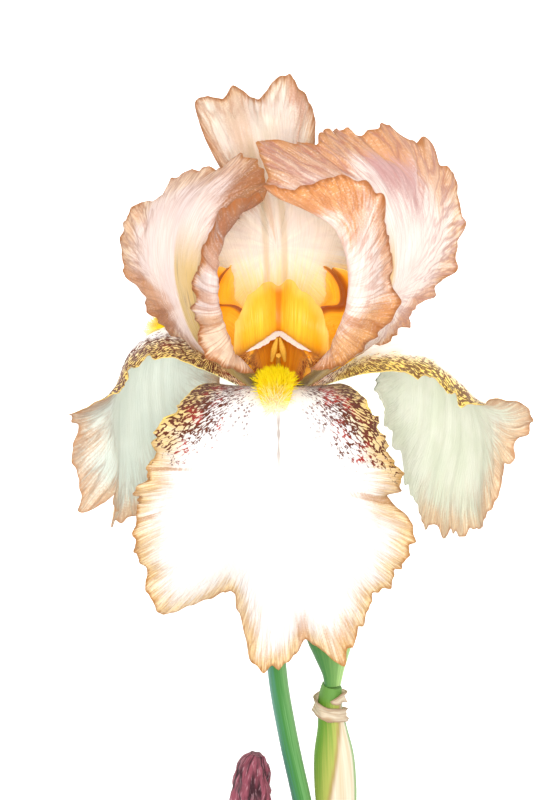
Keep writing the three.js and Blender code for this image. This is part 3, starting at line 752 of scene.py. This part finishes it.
petalFinishes = {
    "standard_left": {
        "face": {
            **standardFace, "middle": "#ecdfda", "flush": "#dfcac4", "bandWidth": 2.5, "feather": 5,
            "rimVeinAmount": 0.3, "flecks": 0.2,
            "stains": ((112, 34, 15, "#f2cfa2", 0.6), (28, 26, 13, "#844820", 0.9),
                       (50, 10, 9, "#b87a50", 0.7), (76, 5, 9, "#c98a5a", 0.6),
                       (93, 6, 10, "#c0824e", 0.6))},
        "back": {
            **standardBack, "band": "#eed4ae", "bandWidth": 10, "feather": 13, "keel": leftKeel,
            "stains": ((-28, 24, 10, "#f1d2ae", 0.5), (-66, 8, 7, "#e0b48c", 0.5),
                       (-96, 20, 22, "#c07828", 0.85), (-114, 16, 15, "#ae6406", 0.95),
                       (4, 12, 10, "#dcb08c", 0.5), (18, 12, 14, "#a06020", 0.9))},
        "paintedLight": standardPaintedLight,
    },
    "standard_right": {
        "face": {
            **standardFace, "band": "#dc9c66", "bandWidth": 6, "rimVeinAmount": 0.4,
            "stains": ((-104, 28, 11, "#d8943c", 0.8), (-96, 4, 14, "#c08050", 0.6),
                       (-66, 20, 5, "#e4b796", 0.6), (-34, 17, 15, "#da9048", 0.9),
                       (-12, 12, 14, "#b0703c", 0.8))},
        "back": {
            **standardBack, "middle": "#fdfaf4", "flush": "#f8ece6", "keel": rightKeel,
            "crease": "#a05a5c", "creaseReach": 34,
            "stains": ((36, 26, 30, "#b87e84", 0.85), (30, 46, 13, "#d69c64", 0.9),
                       (62, 12, 17, "#dba87c", 0.7), (-8, 20, 18, "#c08048", 0.65),
                       (112, 24, 16, "#cc8236", 0.85), (92, 12, 8, "#e8bd9c", 0.4))},
        "paintedLight": standardPaintedLight,
    },
    "standard_back": {
        "face": {
            **standardFace, "middle": "#f4eee4", "flush": "#e4dad8", "creaseReach": 9,
            "bandWidth": 3, "feather": 4, "bandAmount": 0.75, "bandFrom": (50, 70),
            "rimVeinAmount": 0.25, "vein": "#d2c6b4",
            "claw": "#f8e8a0", "clawEnd": "#f4bc24", "clawReach": (30, 48),
            "ribs": ((-2.4, 1.5), (3.4, 1.5)),
            "stains": ((8, 7, 20, "#cfa27c", 0.5), (-15, 5, 7, "#cc8468", 0.7),
                       (24, 8, 4, "#cf9a78", 0.5))},
        "back": standardBack, "glow": "#f2ead4", "paintedLight": backPaintedLight,
    },
    "fall_front": {
        "face": {
            **fallFace, "claw": "#f0c88a", "clawReach": (10, 22),
            "stains": ((-91, 1.3, 12, "#ad682c", 0.7), (-69, 1.1, 8, "#ad682c", 0.7),
                       (73, 3, 12, "#b5743a", 0.7), (20, 7, 9, "#d8a068", 0.5),
                       (8, 3, 12, "#d49a78", 0.6))},
        "back": fallBack, "marks": frontMarks, "glow": "#faeacc",
    },
    "fall_left": {
        "face": fallFace,
        "back": {**fallBack, "band": "#d6a882", "bandWidth": 8, "feather": 10, "crease": "#8a6a5a",
                 "creaseAmount": 0.4},
        "marks": leftMarks, "glow": "#eef0e4", "paintedLight": sidePaintedLight,
    },
    "fall_right": {
        "face": fallFace,
        "back": {**fallBack, "middle": "#eaeee4", "flush": "#d9e2d0", "band": "#eac096", "bandWidth": 9,
                 "plain": (44, 36), "stains": ((-84, 14, 14, "#e2b184", 0.7),)},
        "marks": rightMarks, "glow": "#f2f0e0", "paintedLight": sidePaintedLight,
    },
}


def buildPetals():
    for name, petal in petals.items():
        radius = petalMiddle * makeRib(petal)["length"]
        finish = petalFinish(name, radius, **petalFinishes[name])
        addPiece(name + "_petal", makeMesh(name, makeBlade(petal), [finish]), name)
    print("petals laid out")


# The flower's heart: three style arms with crests, stamens and beards. The open hand of a side
# crest, 0 left and 1 right, faces away from the viewer and lies nearly flat.

# Each paint's shine is the strength of a painted glow of the arm's own colour, which lifts it out of shade
hearts = {
    "front": {"azimuth": 0, "reach": 1, "seed": 21, "openHand": None,
              "fullness": 1.12, "hairs": 3000, "beardEnd": 30,
              "paint": {"cleftShade": "#d07808", "cleftShadeWidth": 1.4, "topCleftShade": 0.0, "shine": 0.06}},
    "left": {"azimuth": -118, "reach": 0.84, "seed": 31, "openHand": 0,
             "fullness": 0.95, "hairs": 2000, "beardEnd": 46,
             "paint": {"cleftShade": "#86421a", "cleftShadeWidth": 1.6, "topCleftShade": 0.85, "shine": 0.35}},
    "right": {"azimuth": 113, "reach": 0.84, "seed": 41, "openHand": 1,
              "fullness": 0.72, "hairs": 900, "beardEnd": 30,
              "paint": {"cleftShade": "#8a4018", "cleftShadeWidth": 3.6, "topCleftShade": 0.85, "shine": 0.35}},
}

# Each arm runs out over its fall, turns up at the stigma and ends in a crest cleft in two
styleArm = {
    **bladeDefaults,
    "spine": ((2.6, 0.45), (4, 9), (9, 19), (17, 24.6), (25.2, 24.8), (26, 29.5), (23.5, 34),
              (19.5, 37.5)),
    "half": (15.8, 17.2), "claw": 0.34, "swell": 0.8, "corner": 0.62, "blunt": 0.9,
    "cup": (-60, -60, -50, -40, -30, 30, 115, 140), "roll": (-20, -30, -34, -36, -38, -44, -60, -60),
    "fold": (0, 0), "foldSpan": 0.16,
    "lobes": ((0, 3, -0.06), (-14, 7, -0.06), (14, 7, -0.06), (-33, 14, -0.1), (33, 14, -0.1)),
    "thickness": 0.7, "rows": 91, "columns": 121,
    "tear": 0.9, "crinkle": (0.35, 2.6, 3), "pleat": (0.15, 2),
}
openHand = {"cup": (-60, -60, -50, -40, -30, 10, 15, 15), "roll": (-20, -30, -34, -36, -32, -6, 0, 0)}
stigmaLip = {"from": 0.67, "halfWidth": 12.2, "drop": 2.2, "lean": 1.3, "thickness": 0.35,
             "stand": 0.3, "jags": ((17, 0.14), (37, 0.1)), "rows": 7, "columns": 81}
stamen = {
    "filament": ((5, 0.75), (9, 7.5), (13.5, 12), (18.4, 15.6)), "filamentRadius": 0.7,
    "anther": ((17.4, 13.6), (19.2, 17.4), (20.6, 21.4)), "antherRadii": (0.35, 0.85, 0.3),
    "lobeShift": 1.3,
}
# The hairs are counted on a crown of the length given, and as many half widths wide
beard = {"from": 9, "halfWidth": 4.8, "height": 2.2, "seat": 0.7, "shift": -1.0, "crown": (21, 2.4),
         "hairLength": 3.4, "hairWidth": 0.17, "lean": 0.8, "rows": 41, "columns": 17}


# Below the lip the arm is an amber tunnel; above it the crest is bright yellow, with a painted highlight in
# the middle of each lobe and painted shade along its cleft
def styleFinish(look, lipAt):
    finish = Finish("styleGold" + look["cleftShade"][1:])
    rim, side = finish.values("rim"), finish.values("side")
    (acrossVeins, along, across), (around, out, _) = finish.vector("veins"), finish.vector("fan")
    fine = rim.threads(acrossVeins / 1.1, along / 16, 6)
    streak = rim.noise(acrossVeins / 2.6, along / 18, 2.0, 2.0)
    patch = rim.noise(acrossVeins / 9, along / 8, 2.0, 2.0)
    # Painted highlight: lighter yellow in the middle of each lobe of the crest
    lobeHighlight = (across.size() - 6).size() + (patch - 0.5) * 5
    # The dark colour laid along the cleft is painted shade of its fold
    cleft = across.size() + (streak - 0.5) * 1.2
    crest = paint("#f2ac04", (lobeHighlight.fall(1, 7), "#fbcc34"), (fine * 0.4, "#ee960c"),
                  (cleft.within(look["cleftShadeWidth"]) * 0.85, look["cleftShade"]),
                  # Paler margin of the crest: partly the fringe's own paler yellow, partly a painted
                  # highlight
                  (rim.fall(0, 3) * 0.4, "#ffe98a"))
    net = rim.noise(around / 0.5, out / 1.6, 11.0, 3.0) + rim.fall(1, 8) * 0.2
    tunnel = (streak + rim.fall(0, 9) * 0.3).rise(0.35, 0.8).tint("#d98c08", "#fab41c")
    tunnel = paint(tunnel, (rim.fall(2, 5) * 0.6, "#f0c070"),
                   (net.rise(0.66, 0.74) * rim.fall(2, 5), "#6a2c14"))
    front = along.rise(lipAt - 0.6, lipAt + 0.6).tint(tunnel, crest)
    # The same painted shade of the cleft, on the top side
    top = (cleft.within(look["cleftShadeWidth"], 0.4) * look["topCleftShade"]).tint(crest, look["cleftShade"])
    base = side.rise(0.4, 0.6).tint(front, top)
    height = fine + rim.noise(around / 1.2, out / 4, 1.0, 2.0)
    # Painted glow: the arm emits its own colour at the strength shine gives, to lift it out of shade
    return finish.close(base, 0.42, height, 0.2, 0.5, "#ffc23a", 0.3, 0.05, base, look["shine"])


def lipFinish():
    finish = Finish("stigmaLip")
    across, along, _ = finish.vector("veins")
    grain = across.noise(across / 0.5, along / 1.2, 0.0, 2.0)
    base = grain.rise(0.3, 0.7).tint("#fff6ea", "#f3dcd0")
    return finish.close(base, 0.5, grain, 0.15, 0.5, "#fff0e0", 0.2)


def makeLip(arm):
    rib, turn = makeRib(arm), math.radians(arm["azimuth"])
    rows, q = gridShares(stigmaLip)
    x = q * stigmaLip["halfWidth"] * arm["half"][0] / styleArm["half"][0]
    y = np.full_like(q, stigmaLip["from"] * rib["length"])
    here, normal = surface(arm, rib, x, y)
    back = ribAt(rib, y / rib["length"])[2]
    ahead = np.cross(back, [math.cos(turn), 0, -math.sin(turn)])
    jag = 1
    for k, (count, depth) in enumerate(stigmaLip["jags"]):
        jag = jag + depth * relief(q * count, 0, arm["seed"] + k)
    taper = ((1 - np.abs(q) ** 3) * jag)[..., None]
    drop = normal * (stigmaLip["drop"] * taper) - ahead * (stigmaLip["lean"] * taper)
    grid = here + normal * stigmaLip["stand"] + drop * rows[..., None]
    values = {"veins": (q * 20, rows * 3, 0), "rim": (0,)}
    return makeSlab(*thicken(grid, stigmaLip["thickness"] / 2), values, 1)


# Stations (radius, height) become stations of a sweep, turned to the arm's side
def turned(stations, radii, heart, shift=0.0):
    turn, reach = math.radians(heart["azimuth"]), heart["reach"]
    return [(reach * r * math.sin(turn) + shift * math.cos(turn), height,
             reach * r * math.cos(turn) - shift * math.sin(turn), thick)
            for (r, height), thick in zip(stations, radii)]


def stamenFinish():
    finish = Finish("anther")
    grain = stemNoise(finish.vector("stem"), 2, 0.5)
    base = grain.rise(0.3, 0.7).tint("#d8961e", "#f0bf50")
    return finish.close(base, 0.6, grain, 0.15, 0.6, "#f0b040", 0.1)


def makeStamen(heart):
    body = sweep(turned(stamen["filament"], [stamen["filamentRadius"]] * 4, heart), 16, 40)
    for shift in (-stamen["lobeShift"], stamen["lobeShift"]):
        low, middle, high = turned(stamen["anther"], stamen["antherRadii"], heart, shift)
        path = ((low[0] + shift * 0.5, *low[1:]), middle, (high[0] - shift * 0.7, *high[1:]))
        body = join(body, sweep(path, 16, 30, ridged(2, 0.12)))
    return body


def beardFinish():
    finish = Finish("beardYellow")
    share, tip = finish.values("share"), finish.values("tip")
    base = (share + tip * 0.1).rise(0.8, 1.06).tint("#ffe400", "#fffae4")
    base = paint(base, (tip.rise(0.3, 1.0) * share.fall(0.7, 0.95), "#fff000"),
                 (tip.fall(0.0, 0.3) * share.fall(0.4, 0.8) * 0.6, "#e89c00"),
                 (share.fall(0.14, 0.26), "#d88a0a"))
    return finish.close(base, 0.6, glow="#ffe000", through=0.2)


# Hairs scattered over the crown of a beard, each a slim cone that leans out by chance
def hairTree():
    tree = bpy.data.node_groups.new("beardHairs", "GeometryNodeTree")
    inputs = (("Ridge", "Geometry"), ("Hairs per square metre", "Float"), ("Length", "Float"),
              ("Width", "Float"), ("Lean", "Float"), ("Seed", "Int"), ("Finish", "Material"))
    for name, kind in inputs:
        tree.interface.new_socket(name, in_out="INPUT", socket_type="NodeSocket" + kind)
    tree.interface.new_socket("Beard", in_out="OUTPUT", socket_type="NodeSocketGeometry")

    def add(kind, sockets=None, output=0, **settings):
        return Wire(tree, addNode(tree, kind, sockets, **settings).outputs[output])

    given = {socket.name: Wire(tree, socket) for socket in tree.nodes.new("NodeGroupInput").outputs}
    most, length, seed = given["Lean"], given["Length"], given["Seed"]
    crown = add("GeometryNodeInputNamedAttribute", {"Name": "crown"}, data_type="FLOAT")
    density = given["Hairs per square metre"] * crown
    roots = addNode(tree, "GeometryNodeDistributePointsOnFaces",
                    {"Mesh": given["Ridge"], "Density": density, "Seed": seed}).outputs
    hair = add("GeometryNodeMeshCone", {"Vertices": 4, "Side Segments": 2, "Radius Top": 0.00003,
                                        "Radius Bottom": given["Width"], "Depth": length})
    tip = add("GeometryNodeInputPosition").parts()[2] / length
    marked = add("GeometryNodeStoreNamedAttribute", {"Geometry": hair, "Name": "tip", "Value": tip},
                 data_type="FLOAT", domain="POINT")
    least = most * -1.0
    low = least.node("CombineXYZ", {0: least, 1: least})
    high = most.node("CombineXYZ", {0: most, 1: most, 2: 2 * math.pi})
    tilt = add("FunctionNodeRandomValue", {0: low, 1: high, "Seed": seed}, data_type="FLOAT_VECTOR")
    tilt = add("FunctionNodeEulerToRotation", {0: tilt})
    turn = add("FunctionNodeRotateRotation", {0: roots["Rotation"], 1: tilt}, rotation_space="LOCAL")
    scale = add("FunctionNodeRandomValue", {2: 0.6, 3: 1.05, "Seed": seed}, 1, data_type="FLOAT")
    hairs = add("GeometryNodeInstanceOnPoints", {"Points": roots["Points"], "Instance": marked,
                                                 "Rotation": turn, "Scale": scale})
    both = addNode(tree, "GeometryNodeJoinGeometry", {0: add("GeometryNodeRealizeInstances", {0: hairs})})
    tree.links.new(given["Ridge"].socket, both.inputs[0])
    painted = add("GeometryNodeSetMaterial", {0: both.outputs[0], "Material": given["Finish"]})
    addNode(tree, "NodeGroupOutput", {0: painted})
    return tree


def makeBeardRidge(petal, heart):
    rib = makeRib(petal)
    share, e = gridShares(beard)
    swell = (0.45 + 0.55 * np.sin(math.pi * share) ** 0.6) * heart["fullness"]
    y = beard["from"] + (heart["beardEnd"] - beard["from"]) * heart["fullness"] * share + 0 * e
    x = e * beard["halfWidth"] * swell
    low, lowNormal = surface(petal, rib, x + beard["shift"], y)
    high, highNormal = surface(petal, rib, x * 0.9 + beard["shift"], y)
    rise = beard["seat"] + 0.3 + beard["height"] * swell * (1 - e ** 2)
    crown = (1 - np.abs(e) ** 3) * smooth(0.16, 0.36, share) * (1 - 0.6 * smooth(0.6, 1, share))
    ridge = makeSlab(low - lowNormal * beard["seat"], high - highNormal * rise[..., None],
                     {"share": (share,), "tip": (0,), "crown": (crown,)})
    ridge["values"]["crown"] *= ridge["values"]["side"]
    return ridge


def makeBeard(name, petal, heart, tree, finish):
    carrier = bpy.data.objects.new(name, makeMesh(name, makeBeardRidge(petal, heart), [finish]))
    bpy.context.scene.collection.objects.link(carrier)
    modifier = carrier.modifiers.new("hairs", "NODES")
    modifier.node_group = tree
    length, widths = beard["crown"]
    crownArea = length * beard["halfWidth"] * widths * (heart["fullness"] * mm) ** 2
    inputs = {"Hairs per square metre": heart["hairs"] / crownArea,
              "Length": beard["hairLength"] * heart["fullness"] * mm,
              "Width": beard["hairWidth"] * mm, "Lean": beard["lean"],
              "Seed": heart["seed"], "Finish": finish}
    for item in tree.interface.items_tree:
        if item.name in inputs:
            modifier[item.identifier] = inputs[item.name]
    ready = carrier.evaluated_get(bpy.context.evaluated_depsgraph_get())
    mesh = bpy.data.meshes.new_from_object(ready)
    carrier.modifiers.remove(modifier)
    bpy.data.objects.remove(carrier)
    return mesh


def makeArm(heart):
    arm = {**styleArm, "azimuth": heart["azimuth"], "seed": heart["seed"],
           "spine": [(radius * heart["reach"], height) for radius, height in styleArm["spine"]],
           "half": [width * heart["reach"] for width in styleArm["half"]]}
    for key, turns in openHand.items():
        arm[key] = [turns if hand == heart["openHand"] else styleArm[key] for hand in (0, 1)]
    return arm


def buildHeart():
    lip, anther, yellow, tree = lipFinish(), stamenFinish(), beardFinish(), hairTree()
    for side, heart in hearts.items():
        arm = makeArm(heart)
        gold = styleFinish(heart["paint"], stigmaLip["from"] * makeRib(arm)["length"])
        style = makeMesh("style_" + side, join(makeBlade(arm), makeLip(arm)), [gold, lip])
        addPiece("style_" + side, style, "style_arm_" + side)
        pollen = makeMesh("anther_" + side, makeStamen(heart), [anther])
        addPiece("anther_" + side, pollen, "stamen_" + side)
        tuft = makeBeard("beardTuft_" + side, petals["fall_" + side], heart, tree, yellow)
        addPiece("beardTuft_" + side, tuft, "beard_" + side)
    print("heart built")


# Tube, ovary and stalk. Stations are (side, height, front, radius).

tube = {
    "stations": ((0, -1.4, 0, 8.2), (0, -2.8, 0, 8), (0, -6.4, 0, 6), (0, -12, 0, 4.8), (0, -19, 0, 4.4)),
    "mouth": ((0, -3, 0, 6.8), (0, -1.5, 0, 6.8), (0, 0, 0, 6.8)),
}
ovary = ((0, -19.4, 0, 4.6), (-0.2, -24, 0, 5.6), (-0.8, -32, 0, 6.2), (-1.4, -40, 0, 5.4),
         (-2, -46, 0, 3.6))
stalk = {
    "stem": ((-2, -46.4, 0, 3.4), (-1.8, -60, 0, 3), (-0.2, -89, 0, 3), (3, -110, 0, 3), (7.7, -133, 0, 3),
             (12, -155, 0, 3.3), (15.5, -175, 0, 3.7), (19, -200, 0.5, 4), (23, -232, 2, 4.3)),
    "branch": ((15, -172, 0, 2.4), (17.2, -160, 0, 2.8), (18.9, -148.9, 0, 3)),
    "spentBranch": ((14, -178, 0, 2), (6, -170, 0, 2), (-1.5, -160, 0, 2.4), (-5, -152, 0, 3.2)),
}
sheath = ((19, -148, 0, 3.3), (18.9, -140, 0, 5.2), (18.4, -130, 0, 6.1), (17.8, -118, 0, 5.9),
          (17.2, -109, 0, 4.5), (16.6, -104, 0, 3.9), (16.4, -101, 0, 3.8), (16.6, -97, 0, 3.6),
          (17, -94.4, 0, 3.3))
paperBand = {"turns": 1.45, "start": -70, "low": -105, "high": -96.6, "halfWidth": 2.2, "clear": 0.3,
             "peel": (2.0, 2.4), "thickness": 0.3, "rows": 121, "columns": 13}
bud = ((17, -94.1, 0, 2.6), (17, -90, 0, 3.4), (16.6, -84, 0, 5.4), (16.2, -78, 0, 7.2),
       (15.6, -70, 0, 7.6), (15, -60, 0, 6.6), (14.4, -50, 0, 4.2), (14, -42, 0, 0.9))
spent = ((-5.2, -151.6, 0, 3.4), (-6.6, -145, 0, 5), (-7.6, -136, 0, 6), (-7.8, -128, 0, 5.4),
         (-7.4, -121, 0, 4.4), (-6.6, -117.5, 0, 2.2))


# Green skin with pale streaks that run along the stem, and painted light and shade: lighter on the side
# that turn gives, darker on the far side
def stemFinish(name, dark, middle, pale, turn):
    finish = Finish(name)
    stem = finish.vector("stem")
    lightFacing = stem[0] * math.cos(math.radians(turn)) + stem[1] * math.sin(math.radians(turn))
    streak, fine = stemNoise(stem, 1.2, 30), stemNoise(stem, 3, 8, 2.0)
    tone = lightFacing / stemRadius + (streak - 0.5) * 1.5
    base = tone.rise(-0.9, 0.1).tint(dark, middle)
    return finish.close(tone.rise(0.1, 1.0).tint(base, pale), 0.45, fine + streak, 0.2, 0.5)


def sheathFinish():
    finish = Finish("sheathPaper")
    x, y, along = finish.vector("stem")
    streak = stemNoise((x, y, along), 1.5, 34)
    border = x - along * 0.146 + 4.2 + (streak - 0.5) * 1.6
    green = (border + streak * 5).rise(-3, 3).tint("#5e8c2a", "#a6aa50")
    paper = streak.rise(0.3, 0.75).tint("#dcd4be", "#cbb998")
    base = paint(green, (border.rise(0.0, 0.6), paper),
                 # A brown line along the paper's edge: painted shade
                 ((border - 0.2).size().fall(0.1, 0.9) * 0.6, "#a07a50"),
                 (x.rise(3.3, 3.7), "#7ea064"), (along.rise(48, 51), "#5f8c3c"))
    return finish.close(base, 0.6, streak, 0.3, 0.6)


def paperFinish():
    finish = Finish("dryPaper")
    rim = finish.values("rim")
    across, along, _ = finish.vector("veins")
    grain = rim.noise(across / 0.7, along / 12, 0.0, 3.0)
    base = grain.rise(0.3, 0.7).tint("#e2d6be", "#b89c7c")
    base = (rim.fall(0, 0.8) * 0.7).tint(base, "#967458")
    return finish.close(base, 0.7, grain, 0.3, 0.7, "#f0dcb8", 0.2)


def spentFinish():
    finish = Finish("witheredPetal")
    x, y, along = finish.vector("stem")
    folds, fine = stemNoise((x, y, along), 1.1, 9), stemNoise((x, y, along), 3, 3)
    base = folds.rise(0.38, 0.6).tint("#35101a", "#8a4452")
    base = paint(base, (fine.rise(0.55, 0.75) * 0.7, "#c79aa2"),
                 (x.rise(1.5, 3.5) * along.fall(4, 14) * 0.8, "#d8b98a"))
    return finish.close(base, 0.7, folds + fine * 0.5, 0.6, 0.8)


# A strip of dry bract wound round the neck of the sheath, with both ends peeling off
def makePaperBand():
    t, e = gridShares(paperBand)
    halfWidth, (first, last) = paperBand["halfWidth"], paperBand["peel"]
    sides, heights, _, radii = np.array(sheath).T
    middle = paperBand["low"] + (paperBand["high"] - paperBand["low"]) * t
    centre = np.interp(middle, heights, sides)
    turn = np.radians(paperBand["start"] + 360 * paperBand["turns"] * t)
    taper = np.sqrt(np.clip(1 - np.abs(2 * t - 1) ** 5, 0, 1))
    height = middle + e * halfWidth * taper + relief(t * 9, e * 1.2, 71) * 0.7
    peel = first * smooth(0.12, 0, t) + last * smooth(0.9, 1, t)
    bulk = 0.5 * (1 + relief(t * 22, e * 2, 72)) + 0.6 * e * e
    radius = np.interp(height, heights, radii) + paperBand["clear"] + peel + bulk
    grid = np.stack([centre + radius * np.cos(turn), height, radius * np.sin(turn)], -1)
    values = {"veins": (e * halfWidth, t * 60, 0), "rim": ((1 - np.abs(e)) * halfWidth,)}
    return makeSlab(*thicken(grid, paperBand["thickness"] / 2), values, 1)


def crumpled(turn, share):
    around = turn / (2 * math.pi)
    dents = relief(around * 9, share * 8, 81) * np.sin(np.pi * np.clip(share, 0.05, 1)) ** 0.5
    return ridged(5, 0.16, 80)(turn, share) + 0.22 * dents + 0.1 * relief(around * 21, share * 17, 82)


def buildStalk():
    # Each stem's colours run from the painted shade on its far side, through its middle green, to the
    # painted light on the side its turn gives
    cream = stemFinish("tubeGreen", "#93a848", "#b9c468", "#dfe0a0", 0)
    green = stemFinish("ovaryGreen", "#4f8440", "#6fa352", "#a9cc80", 20)
    leaf = stemFinish("stalkGreen", "#4a8070", "#3c7a34", "#6fa262", 10)
    budGreen = stemFinish("budGreen", "#3a7434", "#6f9850", "#a8cc78", 10)
    mouth = join(sweep(tube["stations"], 48), sweep(tube["mouth"], 48, 12))
    stems = join(sweep(stalk["stem"], 32, 120), sweep(stalk["branch"], 24, 30),
                 sweep(stalk["spentBranch"], 24, 40))
    bracts = join(sweep(sheath, 40, 90, ridged(2, 0.1, 70)), makePaperBand())
    pieces = (
        ("tubeOfPetals", mouth, [cream], "perianth_tube"),
        ("seedVessel", sweep(ovary, 48, 60, ridged(3, 0.08)), [green], "ovary"),
        ("stem", stems, [leaf], "stalk"),
        ("bracts", bracts, [sheathFinish(), paperFinish()], "sheath"),
        ("bud", sweep(bud, 48, 90, ridged(3, 0.07, 60)), [budGreen], "side_bud"),
        ("witheredBloom", sweep(spent, 60, 90, crumpled), [spentFinish()], "spent_flower"))
    for name, shape, materials, node in pieces:
        addPiece(name, makeMesh(name, shape, materials), node)
    print("stalk built")


# Studio: white floor, soft light from all round, a brighter panel above the right side

studio = {"cameraAt": (-8.88, 63.38, 777.9), "lens": 106.92, "sensor": 36, "clip": (0.01, 20),
          "lampAim": (0, 60, 50),
          "floorHalf": 1.5, "floorHeight": -0.0003, "floorTone": 0.95, "floorGlow": 0.55, "sky": 0.66,
          "lamps": {"panel": {"power": 4.6, "at": (180, 420, 1400), "size": 1.3},
                    "front": {"power": 8.4, "at": (-9, 40, 1000), "size": 0.25}}}
white = (1, 1, 1, 1)


def addObject(name, data):
    made = bpy.data.objects.new(name, data)
    bpy.context.scene.collection.objects.link(made)
    return made


def buildStudio():
    scene = bpy.context.scene
    scene.view_settings.view_transform = "Standard"
    data = bpy.data.cameras.new("camera")
    data.lens, data.sensor_width = studio["lens"], studio["sensor"]
    data.clip_start, data.clip_end = studio["clip"]
    scene.camera = addObject("camera", data)
    scene.camera.location = [v * mm for v in studio["cameraAt"]]

    scene.world = bpy.data.worlds.new("sky")
    scene.world.use_nodes = True
    sky = scene.world.node_tree.nodes["Background"].inputs
    sky[0].default_value, sky[1].default_value = white, studio["sky"]

    for name, look in studio["lamps"].items():
        light = bpy.data.lights.new(name, "AREA")
        light.energy, light.size = look["power"], look["size"]
        lamp = addObject(name, light)
        lamp.location = [v * mm for v in look["at"]]
        aim = np.array(studio["lampAim"]) * mm - np.array(lamp.location)
        tilt = math.atan2(math.hypot(aim[0], aim[1]), -aim[2])
        lamp.rotation_euler = (tilt, 0, math.atan2(aim[0], -aim[1]) + math.pi)

    half, tone = studio["floorHalf"], studio["floorTone"]
    corners = [(x * half, y * half, studio["floorHeight"]) for x, y in ((-1, -1), (1, -1), (1, 1), (-1, 1))]
    mesh = bpy.data.meshes.new("floor")
    mesh.from_pydata(corners, [], [(0, 1, 2, 3)])
    mesh.materials.append(Finish("floorWhite").close(
        (tone, tone, tone, 1), 0.9, shine=white, shineStrength=studio["floorGlow"]))
    addObject("floor", mesh)
    print("studio ready")


buildStudio()
buildPetals()
buildHeart()
buildStalk()
